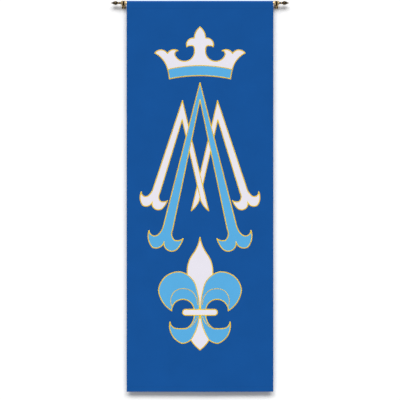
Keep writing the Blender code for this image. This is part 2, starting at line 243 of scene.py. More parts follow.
class Paint(Graph):
    """A material's graph with the shader nodes that all finishes use."""

    def __init__(self, name: str) -> None:
        """Makes a material with only its output.

        Args:
            name: The material's name.
        """
        self.material = bpy.data.materials.new(name)
        self.material.use_nodes = True
        super().__init__(self.material.node_tree)
        self.tree.nodes.clear()

    def coordinates(self, output: str) -> Signal:
        """The texture coordinates of that kind."""
        return self.node("ShaderNodeTexCoord", output=output)

    def scaled(self, vector: Signal, scale: tuple[float, float, float], turn: float = 0.0) -> Signal:
        """A vector through a Mapping node.

        Args:
            vector: The coordinates.
            scale: What each is multiplied by.
            turn: A turn about Z, in radians.

        Returns:
            The mapped coordinates.
        """
        values = {"Vector": vector, "Scale": scale, "Rotation": (0.0, 0.0, turn)}
        return self.node("ShaderNodeMapping", inputs=values)

    def noise(self, vector: Signal, scale: float, detail: float = 2.0, rough: float = 0.5) -> Signal:
        """Noise from 0 to 1.

        Args:
            vector: The coordinates.
            scale: Its waves in each unit of the coordinates.
            detail: How many finer layers it has.
            rough: How strong the finer layers are.

        Returns:
            The noise.
        """
        values = {"Vector": vector, "Scale": scale, "Detail": detail, "Roughness": rough}
        return self.node("ShaderNodeTexNoise", inputs=values)

    def ramp(self, signal: Signal, stops: Sequence[tuple[float, Colour]]) -> Signal:
        """A signal turned into a colour."""
        return self.node("ShaderNodeValToRGB", {"stops": stops}, {"Fac": signal})

    def blended(self, share: Signal, first: Signal | Colour, second: Signal | Colour) -> Signal:
        """Two colours mixed.

        Args:
            share: The second colour's share.
            first: The first colour.
            second: The second colour.

        Returns:
            The mixed colour.
        """
        colours = [c if isinstance(c, Signal) else (*c, 1.0) for c in (first, second)]
        values = {0: share, 6: colours[0], 7: colours[1]}
        return self.node("ShaderNodeMix", {"data_type": "RGBA"}, values, output=2)

    def bumped(self, height: Signal, distance: float, strength: float = 1.0) -> Signal:
        """A normal from heights of 0 to 1.

        Args:
            height: The heights.
            distance: How far a height of 1 stands out, in metres.
            strength: How much of the effect is used.

        Returns:
            The normal.
        """
        values = {"Height": height, "Distance": distance, "Strength": strength}
        return self.node("ShaderNodeBump", inputs=values, output="Normal")

    def finish(self, inputs: dict[str, Value]) -> bpy.types.Material:
        """Adds the main shader.

        Args:
            inputs: Its sockets' values or links.

        Returns:
            The finished material.
        """
        shader = self.node("ShaderNodeBsdfPrincipled", inputs=inputs)
        self.node("ShaderNodeOutputMaterial", inputs={"Surface": shader})
        return self.material


# Finishes


@dataclass(frozen=True)
class WovenCloth:
    """A plain weave whose threads follow the cloth's own flat coordinates.

    Args:
        name: The material's name.
        colour: The cloth's colour, linear.
        pitch: The spacing of its threads.
        relief: How far a thread stands out.
        mottle: How far the tone wanders over the cloth, as a share.
        roughness: The shader's roughness.
        shine: The shader's specular level.
    """

    name: str
    colour: Colour
    pitch: float = 0.9
    relief: float = 0.12
    mottle: float = 0.05
    roughness: float = 0.85
    shine: float = 0.1

    def toned(self, share: float) -> Colour:
        """The cloth's colour, lighter or darker by a share."""
        return tuple(min(1.0, c * (1 + share)) for c in self.colour)

    def build(self) -> bpy.types.Material:
        """Makes the material."""
        paint = Paint(self.name)
        place = paint.coordinates("UV")
        across = paint.node("ShaderNodeSeparateXYZ", inputs={"Vector": place}, output="X")
        along = across.beside("Y")
        wave = math.pi / (self.pitch * MM)
        warp, weft = (across * wave).sine(), (along * wave).sine()
        over = (warp * weft).over(0.0)
        threads = warp.magnitude() * over + weft.magnitude() * (1.0 - over)
        streaks = paint.noise(paint.scaled(place, (1400.0, 45.0, 1.0)), 1.0, 3.0, 0.6)
        strokes = paint.noise(paint.scaled(place, (45.0, 1400.0, 1.0)), 1.0, 3.0, 0.6)
        slub = (streaks + strokes) * 0.5
        clouds = paint.noise(place, 5.0, 4.0, 0.55)
        tone = clouds * 0.75 + slub * 0.25
        shade = paint.ramp(tone, ((0.32, self.toned(-self.mottle)), (0.68, self.toned(self.mottle))))
        height = threads * 0.7 + slub * 0.6
        return paint.finish(
            {
                "Base Color": shade,
                "Roughness": self.roughness,
                "Specular IOR Level": self.shine,
                "Normal": paint.bumped(height, self.relief * MM),
            }
        )


@dataclass(frozen=True)
class GoldThread:
    """Close gold stitching with a soft sheen, its threads uneven in tone."""

    name: str = "gold_thread_satin"
    light: Colour = (0.99, 0.76, 0.03)
    deep: Colour = (0.88, 0.58, 0.0)
    thread: float = 1.0
    roughness: float = 0.45
    metallic: float = 0.0

    def build(self) -> bpy.types.Material:
        """Makes the material."""
        paint = Paint(self.name)
        place = paint.coordinates("Object")
        threads = paint.noise(place, 1 / (self.thread * MM), 1.0)
        clouds = paint.noise(place, 14.0, 2.0)
        tone = threads * 0.7 + clouds * 0.3
        twist = paint.noise(paint.scaled(place, (2600.0, 2600.0, 1700.0)), 1.0, 1.0)
        return paint.finish(
            {
                "Base Color": paint.ramp(tone, ((0.3, self.deep), (0.55, self.light))),
                "Roughness": self.roughness,
                "Metallic": self.metallic,
                "Specular IOR Level": 0.2,
                "Normal": paint.bumped(twist, 0.15 * MM),
            }
        )


@dataclass(frozen=True)
class SewingThread:
    """Matt sewing thread in one colour, with painted shade in its twist: darker where the twist's bump
    is low.
    """

    name: str
    colour: Colour

    def build(self) -> bpy.types.Material:
        """Makes the material."""
        paint = Paint(self.name)
        place = paint.coordinates("Object")
        twist = paint.noise(paint.scaled(place, (2500.0, 2500.0, 2500.0)), 1.0, 1.0)
        # The darker colour is painted shade: the thread is dimmed where the twist noise, which is also
        # the bump's height, is low.
        dark = tuple(c * 0.6 for c in self.colour)
        return paint.finish(
            {
                "Base Color": paint.ramp(twist, ((0.35, dark), (0.6, self.colour))),
                "Roughness": 0.7,
                "Normal": paint.bumped(twist, 0.08 * MM),
            }
        )


@dataclass(frozen=True)
class AgedBrass:
    """Brass browned in its recesses and rubbed bright where the attribute "rubbed" is high.

    Args:
        name: The material's name.
        bright: The colour of rubbed metal, linear.
        brown: The colour of its patina, linear.
        patina: How much patina lies on the flat stretches, from 0 to 1.
    """

    name: str
    bright: Colour = (0.56, 0.42, 0.22)
    brown: Colour = (0.022, 0.015, 0.008)
    patina: float = 0.65

    def build(self) -> bpy.types.Material:
        """Makes the material."""
        paint = Paint(self.name)
        place = paint.coordinates("Object")
        rubbed = paint.node("ShaderNodeAttribute", {"attribute_name": "rubbed"}, output="Fac")
        stains = paint.noise(place, 160.0, 4.0, 0.6)
        scratches = paint.noise(paint.scaled(place, (300.0, 4000.0, 4000.0)), 1.0, 2.0)
        clean = ((stains * 1.1 + rubbed * 1.25 - (0.55 + 0.45 * self.patina)) * 2.2).clamped()
        return paint.finish(
            {
                "Base Color": paint.blended(clean, self.brown, self.bright),
                "Metallic": 1.0,
                "Roughness": 0.52 - clean * 0.24 + scratches * 0.08,
                "Normal": paint.bumped(stains * 0.6 + scratches * 0.2, 0.12 * MM),
            }
        )


@dataclass(frozen=True)
class StagePaint:
    """Matt paint for the room, which shows on its front only."""

    name: str
    colour: Colour

    def build(self) -> bpy.types.Material:
        """Makes the material."""
        paint = Paint(self.name)
        behind = paint.node("ShaderNodeNewGeometry", output="Backfacing")
        matt = paint.node("ShaderNodeBsdfDiffuse", inputs={"Color": (*self.colour, 1.0)})
        clear = paint.node("ShaderNodeBsdfTransparent")
        either = paint.node("ShaderNodeMixShader", inputs={0: behind, 1: matt, 2: clear})
        paint.node("ShaderNodeOutputMaterial", inputs={"Surface": either})
        return paint.material


# Flat outlines, anticlockwise as seen from the front


def arc(start: Point, end: Point, swell: float, sag: float) -> list[Point]:
    """An arc's points, without its end.

    Args:
        start: Where it starts.
        end: Where it ends.
        swell: How far its middle lies to the right of the straight way.
        sag: How far the straight pieces may stray from it.

    Returns:
        Points from start on.
    """
    (x0, z0), (x1, z1) = start, end
    chord = math.hypot(x1 - x0, z1 - z0)
    if abs(swell) < sag:
        return [start]
    radius = (chord * chord / 4 + swell * swell) / (2 * abs(swell))
    sweep = 4 * math.atan2(2 * abs(swell), chord)
    steps = max(2, math.ceil(sweep / (2 * math.acos(1 - min(sag / radius, 1.0)))))
    side = math.copysign(1.0, swell)
    inset = side * (radius - abs(swell))
    cx = (x0 + x1) / 2 - (z1 - z0) / chord * inset
    cz = (z0 + z1) / 2 - (x0 - x1) / chord * inset
    first = math.atan2(z0 - cz, x0 - cx)
    angles = [first + side * sweep * i / steps for i in range(steps)]
    return [(cx + radius * math.cos(a), cz + radius * math.sin(a)) for a in angles]


def walk(rows: Sequence[Row], closed: bool = True, sag: float = CLOTH_SAG) -> list[Point]:
    """The points along a table.

    Args:
        rows: Corners, each with the swell of the arc to the next one.
        closed: Whether the last corner joins the first.
        sag: How far the straight pieces may stray from an arc.

    Returns:
        The points in order.
    """
    followers = rows[1:] + rows[:1] if closed else rows[1:]
    points: list[Point] = []
    for here, there in zip(rows, followers):
        points += arc(here[:2], there[:2], here[2], sag)
    return points if closed else [*points, rows[-1][:2]]


def spaced(points: Sequence[Point], step: float, closed: bool) -> list[Point]:
    """The same line with more points on its long straight stretches.

    Args:
        points: The line's points.
        step: The most that two points may be apart.
        closed: Whether the last point joins the first.

    Returns:
        The points in order.
    """
    followers = [*points[1:], points[0]] if closed else points[1:]
    result: list[Point] = []
    for (x0, z0), (x1, z1) in zip(points, followers):
        count = max(1, math.ceil(math.hypot(x1 - x0, z1 - z0) / step))
        result += [(x0 + (x1 - x0) * i / count, z0 + (z1 - z0) * i / count) for i in range(count)]
    return result if closed else [*result, points[-1]]


def winding(places: np.ndarray, starts: np.ndarray, ends: np.ndarray) -> np.ndarray:
    """How many times edges go anticlockwise round each place.

    Args:
        places: One place a row.
        starts: Where each edge starts.
        ends: Where each edge ends.

    Returns:
        One number for each place.
    """
    counts = []
    for part in np.array_split(places, len(places) // BATCH + 1):
        x, z = part[:, :1], part[:, 1:]
        side = (ends[:, 0] - starts[:, 0]) * (z - starts[:, 1])
        side = side - (x - starts[:, 0]) * (ends[:, 1] - starts[:, 1])
        up = (starts[:, 1] <= z) & (ends[:, 1] > z) & (side > 0)
        down = (starts[:, 1] > z) & (ends[:, 1] <= z) & (side < 0)
        counts.append(up.sum(1) - down.sum(1))
    return np.concatenate(counts)


def distance(places: np.ndarray, starts: np.ndarray, ends: np.ndarray) -> np.ndarray:
    """How far each place is from the nearest edge.

    Args:
        places: One place a row.
        starts: Where each edge starts.
        ends: Where each edge ends.

    Returns:
        One distance for each place.
    """
    run = ends - starts
    squared = np.maximum((run * run).sum(1), 1e-9)
    nearest = []
    for part in np.array_split(places, len(places) // BATCH + 1):
        away = part[:, None, :] - starts[None]
        share = np.clip((away * run[None]).sum(2) / squared, 0, 1)
        gap = away - run[None] * share[:, :, None]
        nearest.append(np.sqrt((gap * gap).sum(2).min(1)))
    return np.concatenate(nearest)


@dataclass(frozen=True)
class Outline:
    """A closed flat outline.

    Args:
        points: Its points, from the banner's centre line and foot.
    """

    points: tuple[Point, ...]

    @classmethod
    def drawn(cls, rows: Sequence[Row], base: float) -> Outline:
        """An outline from a table of corners and swells over a base height."""
        return cls(tuple((x, z + base) for x, z in walk(rows)))

    @classmethod
    def symmetric(cls, rows: Sequence[Row], base: float) -> Outline:
        """An outline from its right half, which runs from the centre line to the centre line."""
        right = [(x, z + base) for x, z in walk(rows, closed=False)]
        return cls(tuple(right + [(-x, z) for x, z in reversed(right) if x > ON_CENTRE]))

    def mirrored(self) -> Outline:
        """The same outline on the other side of the centre line."""
        return Outline(tuple((-x, z) for x, z in reversed(self.points)))

    def spaced(self, step: float) -> Outline:
        """The same outline with more points on its long straight stretches."""
        return Outline(tuple(spaced(self.points, step, closed=True)))

    def offset(self, reach: float) -> Outline:
        """A parallel outline, pointed at its corners but cut off square outside a sharp one.

        Args:
            reach: How far outwards, or inwards if it is negative.

        Returns:
            The outline, which may cross itself inside a sharp corner.
        """
        moved: list[Point] = []
        for last, here, following in zip(
            self.points[-1:] + self.points, self.points, self.points[1:] + self.points[:1]
        ):
            corner = Vector(here)
            run_in, run_out = (corner - Vector(last)).normalized(), (Vector(following) - corner)
            run_out.normalize()
            side_in, side_out = Vector((run_in.y, -run_in.x)), Vector((run_out.y, -run_out.x))
            middle = (side_in + side_out).normalized()
            spread = max(middle.dot(side_out), 1 / INSIDE_LIMIT)
            is_outside = run_in.cross(run_out) * reach > 0
            if is_outside and spread * MITRE_LIMIT < 1:
                tip = (MITRE_LIMIT - spread) * abs(reach) / math.sqrt(1 - spread * spread)
                moved.append((corner + side_in * reach + run_in * tip)[:])
                moved.append((corner + side_out * reach - run_out * tip)[:])
            else:
                moved.append((corner + middle * (reach / spread))[:])
        return Outline(tuple(moved))

    def edges(self) -> tuple[np.ndarray, np.ndarray]:
        """The starts and ends of its edges."""
        ring = np.array(self.points)
        return ring, np.roll(ring, -1, axis=0)

    def holds(self, places: np.ndarray) -> np.ndarray:
        """Which places are inside it."""
        return winding(places, *self.edges()) > 0


@dataclass
class Net:
    """A flat region in triangles.

    Args:
        points: The points, one a row.
        triangles: Their corners, anticlockwise, one a row.
    """

    points: np.ndarray
    triangles: np.ndarray

    @classmethod
    def through(cls, rings: Iterable[Outline], loose: Iterable[Point] = ()) -> Net:
        """A net that has every ring's edges in it.

        Args:
            rings: The outlines to keep as edges.
            loose: Further points.

        Returns:
            The net over all of them.
        """
        points: list[Point] = []
        edges: list[tuple[int, int]] = []
        for ring in rings:
            first, count = len(points), len(ring.points)
            points += ring.points
            edges += [(first + i, first + (i + 1) % count) for i in range(count)]
        found = delaunay_2d_cdt([Vector(p) for p in (*points, *loose)], edges, [], 0, 1e-4)
        return cls(np.array([p[:] for p in found[0]]), np.array(found[2]))

    def centres(self) -> np.ndarray:
        """The triangles' middles."""
        return self.points[self.triangles].mean(axis=1)

    def only(self, chosen: np.ndarray) -> Net:
        """The net of the chosen triangles, without the points that none of them uses."""
        used, index = np.unique(self.triangles[chosen], return_inverse=True)
        return Net(self.points[used], index.reshape(-1, 3))

    def rim(self) -> list[tuple[int, int]]:
        """The directed edges that only one triangle has."""
        sides = [(int(t[i]), int(t[(i + 1) % 3])) for t in self.triangles for i in range(3)]
        both = set(sides)
        return [(a, b) for a, b in sides if (b, a) not in both]

    def depth(self) -> np.ndarray:
        """How far each point is from the region's rim."""
        rim = np.array(self.rim())
        return distance(self.points, self.points[rim[:, 0]], self.points[rim[:, 1]])


# Meshes


def linked(name: str, mesh: bpy.types.Mesh, material: bpy.types.Material | None) -> bpy.types.Object:
    """Adds a mesh to the scene.

    Args:
        name: The object's name.
        mesh: Its mesh.
        material: Its finish, if it has one yet.

    Returns:
        The new object.
    """
    obj = bpy.data.objects.new(name, mesh)
    if material is not None:
        obj.data.materials.clear()
        obj.data.materials.append(material)
    bpy.context.scene.collection.objects.link(obj)
    return obj


def mesh_of(name: str, points: np.ndarray, faces: Sequence[Sequence[int]]) -> bpy.types.Mesh:
    """A mesh in metres from points in millimetres."""
    mesh = bpy.data.meshes.new(name)
    scaled = (np.asarray(points, float) * MM).tolist()
    mesh.from_pydata(scaled, [], [tuple(map(int, face)) for face in faces])
    mesh.validate()
    return mesh


def lay_flat_coordinates(mesh: bpy.types.Mesh, flat: np.ndarray) -> None:
    """Gives a mesh a UV map from each point's place on the flat cloth, in metres."""
    layer = mesh.uv_layers.new(name="flat")
    corners = np.zeros(len(mesh.loops), np.int32)
    mesh.loops.foreach_get("vertex_index", corners)
    layer.data.foreach_set("uv", (flat[corners] * MM).astype(np.float32).ravel())


def baked_copy(obj: bpy.types.Object) -> bpy.types.Object:
    """Turns an object's modifiers into plain mesh."""
    bpy.context.view_layer.update()
    graph = bpy.context.evaluated_depsgraph_get()
    mesh = bpy.data.meshes.new_from_object(obj.evaluated_get(graph))
    obj.modifiers.clear()
    obj.data = mesh
    return obj


def hand_over(obj: bpy.types.Object, nodes: Sequence[str] = ()) -> bpy.types.Object:
    """Hands a finished piece to the frame and reports it.

    Args:
        obj: The piece.
        nodes: The solids that it stands for, if any.

    Returns:
        The piece.
    """
    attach(obj, BODY)
    if nodes:
        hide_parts(*nodes)
    LOG.info("%s: %d faces", obj.name, len(obj.data.polygons))
    return obj


def face_outwards(mesh: bpy.types.Mesh) -> None:
    """Welds a closed mesh's doubles and points its faces outwards."""
    shape = bmesh.new()
    shape.from_mesh(mesh)
    bmesh.ops.remove_doubles(shape, verts=shape.verts, dist=WELD * MM)
    bmesh.ops.recalc_face_normals(shape, faces=shape.faces)
    shape.to_mesh(mesh)
    shape.free()


def smooth(mesh: bpy.types.Mesh, angle: float) -> None:
    """Shades a mesh smooth but for edges sharper than an angle in degrees."""
    mesh.shade_smooth()
    mesh.set_sharp_from_angle(angle=math.radians(angle))


def mark_rubbed(mesh: bpy.types.Mesh) -> None:
    """Stores in "rubbed" how far each point is on a raised edge, from 0 to 1."""
    shape = bmesh.new()
    shape.from_mesh(mesh)
    shape.normal_update()
    raised = np.zeros(len(shape.verts))
    for vert in shape.verts:
        bends = []
        for edge in vert.link_edges:
            way = edge.other_vert(vert).co - vert.co
            bends.append(-2 * vert.normal.dot(way) / max(way.length_squared, 1e-12) * MM)
        raised[vert.index] = np.clip(WORN + EDGE_WEAR * np.mean(bends), 0, 1) if bends else 0.5
    for _ in range(2):
        near = [np.mean([raised[e.other_vert(v).index] for e in v.link_edges]) for v in shape.verts]
        raised = 0.6 * raised + 0.4 * np.array(near)
    shape.free()
    attribute = mesh.attributes.new("rubbed", "FLOAT", "POINT")
    attribute.data.foreach_set("value", raised.astype(np.float32))


# The hanging plane


@dataclass(frozen=True)
class Wave:
    """One long low wave in the cloth.

    Args:
        share: Its share of the cloth's depth of wave.
        across: Its length across the cloth.
        phase: Where it starts, as a share of its length.
        lean: How far it has moved sideways at the foot, in radians.
        down: Its length down the cloth.
    """

    share: float
    across: float
    phase: float
    lean: float = 0.0
    down: float = math.inf

    def at(self, x: np.ndarray, z: np.ndarray, fall: np.ndarray) -> np.ndarray:
        """Its height at places across, heights above the foot, and shares of the way down."""
        turns = x / self.across + z / self.down + self.phase
        return self.share * np.sin(TURN * turns + self.lean * fall)


@dataclass(frozen=True)
class Hang:
    """How the cloth hangs: flat, but for long low waves that grow towards its foot.

    Args:
        face: The y of the cloth's front where it is flat.
        top: The height above the foot where the waves start.
        foot: The world height of the cloth's foot.
        depth: How far the waves reach.
        waves: The waves that are added up.
        curl: How far the side edges turn back, as a share of the depth.
        curl_place: How far from the centre line the curl is at its fullest.
        curl_power: How closely the curl keeps to the edge.
    """

    face: float
    top: float
    foot: float
    depth: float = 2.0
    waves: tuple[Wave, ...] = (
        Wave(share=0.5, across=620, phase=0.12, lean=0.5),
        Wave(share=0.2, across=285, phase=0.31, lean=-1.3),
        Wave(share=0.3, across=2600, phase=0.4, down=1150),
    )
    curl: float = 0.5
    curl_place: float = 457.0
    curl_power: int = 6

    def forward(self, x: np.ndarray, z: np.ndarray) -> np.ndarray:
        """How far the cloth stands forward.

        Args:
            x: Places across, from the centre line.
            z: Heights above the foot.

        Returns:
            Distances towards the front.
        """
        fall = np.clip((self.top - z) / self.top, 0, 1)
        grow = fall * fall * (3 - 2 * fall)
        curl = self.curl * np.clip(np.abs(x) / self.curl_place, 0, 1) ** self.curl_power
        return self.depth * grow * (sum(wave.at(x, z, fall) for wave in self.waves) - curl)

    def placed(self, flat: np.ndarray, lift: np.ndarray | float) -> np.ndarray:
        """Flat places on the cloth's face as points in space.

        Args:
            flat: Places across and above the foot, one a row.
            lift: How far each is in front of the face.

        Returns:
            Points in millimetres, one a row.
        """
        x, z = flat[:, 0], flat[:, 1]
        y = self.face - self.forward(x, z) - lift
        return np.stack([x, y, z + self.foot], axis=1)


def raised_mesh(name: str, net: Net, hang: Hang, lift: np.ndarray, back: float) -> bpy.types.Mesh:
    """A thin closed piece lying on the cloth.

    Args:
        name: The mesh's name.
        net: Its flat region.
        hang: The cloth that it lies on.
        lift: How far each point of its front stands off the cloth's face.
        back: How far its back stands off the cloth's face.

    Returns:
        The mesh, with its flat coordinates.
    """
    count = len(net.points)
    front, rear = hang.placed(net.points, lift), hang.placed(net.points, back)
    faces = net.triangles.tolist()
    faces += [(count + c, count + b, count + a) for a, b, c in net.triangles.tolist()]
    faces += [(b, a, a + count, b + count) for a, b in net.rim()]
    mesh = mesh_of(name, np.concatenate([front, rear]), faces)
    lay_flat_coordinates(mesh, np.concatenate([net.points, net.points]))
    smooth(mesh, 50)
    return mesh


# Stitching


@dataclass(frozen=True)
class Stitch:
    """One kind of stitch, set along lines by a node tree.

    Args:
        name: The tree's name.
        spacing: How far apart stitches are along the line.
        span: How long one stitch is.
        rise: How far its middle stands over its ends.
        thread: The thread's radius.
        along: Whether stitches lie along the line, and not across it.
        unevenness: How far a stitch may be turned, in radians.
        bends: How many straight pieces one stitch has.
    """

    name: str
    spacing: float
    span: float
    rise: float
    thread: float
    along: bool = False
    unevenness: float = 0.05
    bends: int = 3

    def tree(self) -> bpy.types.NodeTree:
        """Builds the node tree: the base shape joined with stitches along another object's lines.

        Returns:
            The tree, whose inputs are the base shape, the lines, the sizes and the finish.
        """
        tree = bpy.data.node_groups.new(self.name, "GeometryNodeTree")
        sockets = (
            ("Base", "NodeSocketGeometry", None),
            ("Lines", "NodeSocketObject", None),
            ("Spacing", "NodeSocketFloat", self.spacing * MM),
            ("Bend radius", "NodeSocketFloat", self.bend_radius * MM),
            ("Sweep", "NodeSocketFloat", self.sweep),
            ("Drop", "NodeSocketFloat", (self.rise - self.bend_radius) * MM),
            ("Thread radius", "NodeSocketFloat", self.thread * MM),
            ("Unevenness", "NodeSocketFloat", self.unevenness),
            ("Seed", "NodeSocketInt", 7),
            ("Finish", "NodeSocketMaterial", None),
        )
        for name, kind, default in sockets:
            socket = tree.interface.new_socket(name=name, in_out="INPUT", socket_type=kind)
            if default is not None:
                socket.default_value = default
        tree.interface.new_socket(name="Sewn", in_out="OUTPUT", socket_type="NodeSocketGeometry")
        graph = Graph(tree)
        given = tree.nodes.new("NodeGroupInput")
        size = {s.name: Signal(graph, s) for s in given.outputs if s.name}
        instances = self._instances(graph, size)
        both = graph.node("GeometryNodeJoinGeometry", inputs={0: [instances, size["Base"]]})
        real = graph.node("GeometryNodeRealizeInstances", inputs={0: both})
        shown = graph.node("GeometryNodeSetMaterial", inputs={0: real, "Material": size["Finish"]})
        graph.node("NodeGroupOutput", inputs={0: shown})
        return tree

    @property
    def bend_radius(self) -> float:
        """The radius of the arc that one stitch follows."""
        return (self.span * self.span / 4 + self.rise * self.rise) / (2 * self.rise)

    @property
    def sweep(self) -> float:
        """The angle of that arc."""
        return 4 * math.atan2(2 * self.rise, self.span)

    def _instances(self, graph: Graph, size: dict[str, Signal]) -> Signal:
        """Adds the nodes that set one curved thread at each place on the lines.

        Args:
            graph: The tree's graph.
            size: The tree's inputs by name.

        Returns:
            The instances.
        """
        arc_inputs = {
            "Resolution": self.bends + 1,
            "Radius": size["Bend radius"],
            "Start Angle": size["Sweep"] * -0.5 + math.pi / 2,
            "Sweep Angle": size["Sweep"],
        }
        bow = graph.node("GeometryNodeCurveArc", {"mode": "RADIUS"}, arc_inputs)
        ring_inputs = {"Resolution": 3, "Radius": size["Thread radius"]}
        ring = graph.node("GeometryNodeCurvePrimitiveCircle", inputs=ring_inputs)
        tube = graph.node("GeometryNodeCurveToMesh", inputs={0: bow, 1: ring, "Fill Caps": True})
        drop = graph.node("ShaderNodeCombineXYZ", inputs={"Y": size["Drop"]})
        thread = graph.node("GeometryNodeTransform", inputs={0: tube, "Translation": drop})
        thread = graph.node("GeometryNodeSetShadeSmooth", inputs={0: thread})
        lines = graph.node("GeometryNodeObjectInfo", inputs={0: size["Lines"]}, output="Geometry")
        curve = graph.node("GeometryNodeMeshToCurve", inputs={0: lines})
        resample_inputs = {"Curve": curve, "Length": size["Spacing"]}
        places = graph.node("GeometryNodeResampleCurve", {"mode": "LENGTH"}, resample_inputs)
        return graph.node(
            "GeometryNodeInstanceOnPoints",
            inputs={
                "Points": places,
                "Instance": thread,
                "Rotation": self._rotation(graph, size),
                "Scale": self._random(graph, size, 0.95, 1.05),
            },
        )

    def _rotation(self, graph: Graph, size: dict[str, Signal]) -> Signal:
        """Adds the nodes that turn each stitch: its rise to the front, its run across or along.

        Args:
            graph: The tree's graph.
            size: The tree's inputs by name.

        Returns:
            The rotation of each stitch.
        """
        align = "FunctionNodeAlignRotationToVector"
        front = graph.node(align, {"axis": "Y"}, {"Vector": (0.0, -1.0, 0.0)})
        tangent = graph.node("GeometryNodeInputTangent")
        run = {"axis": "X" if self.along else "Z", "pivot_axis": "Y"}
        turned = graph.node(align, run, {"Rotation": front, "Vector": tangent})
        jitter = self._random(graph, size, -1.0, 1.0) * size["Unevenness"]
        axis_angle = {"Axis": (0.0, 1.0, 0.0), "Angle": jitter}
        twist = graph.node("FunctionNodeAxisAngleToRotation", inputs=axis_angle)
        spin = {"rotation_space": "LOCAL"}
        return graph.node("FunctionNodeRotateRotation", spin, {0: turned, 1: twist})

    @staticmethod
    def _random(graph: Graph, size: dict[str, Signal], low: float, high: float) -> Signal:
        """A random number for each stitch.

        Args:
            graph: The tree's graph.
            size: The tree's inputs by name.
            low: The least it may be.
            high: The most it may be.

        Returns:
            The number.
        """
        values = {2: low, 3: high, "Seed": size["Seed"]}
        return graph.node("FunctionNodeRandomValue", {"data_type": "FLOAT"}, values, output=1)

    def sewn(
        self, name: str, base: bpy.types.Mesh, lines: bpy.types.Mesh, finish: bpy.types.Material
    ) -> bpy.types.Object:
        """Sets stitches along lines and makes the result a plain mesh.

        Args:
            name: The piece's name.
            base: What lies under the stitches; it may be empty.
            lines: A mesh of edges for the stitches to follow.
            finish: The thread's material.

        Returns:
            The piece.
        """
        tree = self.tree()
        guide = linked(f"{name}_guide", lines, None)
        piece = linked(name, base, finish)
        modifier = piece.modifiers.new("stitches", "NODES")
        modifier.node_group = tree
        identifiers = {i.name: i.identifier for i in tree.interface.items_tree if i.in_out == "INPUT"}
        modifier[identifiers["Lines"]] = guide
        modifier[identifiers["Finish"]] = finish
        baked_copy(piece)
        bpy.data.objects.remove(guide)
        bpy.data.node_groups.remove(tree)
        return piece


SATIN = Stitch("satin_stitch", spacing=1.0, span=6.9, rise=1.15, thread=0.56)
RIB_SATIN = Stitch("rib_satin_stitch", spacing=1.0, span=4.6, rise=0.9, thread=0.52)
LOCKSTITCH = Stitch("lockstitch", 3.4, 2.8, 0.28, 0.32, along=True, unevenness=0.03)


def lines_mesh(name: str, runs: Iterable[tuple[np.ndarray, bool]]) -> bpy.types.Mesh:
    """A mesh of edges.

    Args:
        name: The mesh's name.
        runs: Points in millimetres, and whether the last joins the first.

    Returns:
        The mesh, which has no faces.
    """
    points: list[list[float]] = []
    edges: list[tuple[int, int]] = []
    for run, closed in runs:
        first, count = len(points), len(run)
        points += (run * MM).tolist()
        last = count if closed else count - 1
        edges += [(first + i, first + (i + 1) % count) for i in range(last)]
    mesh = bpy.data.meshes.new(name)
    mesh.from_pydata(points, edges, [])
    return mesh


# The cloth


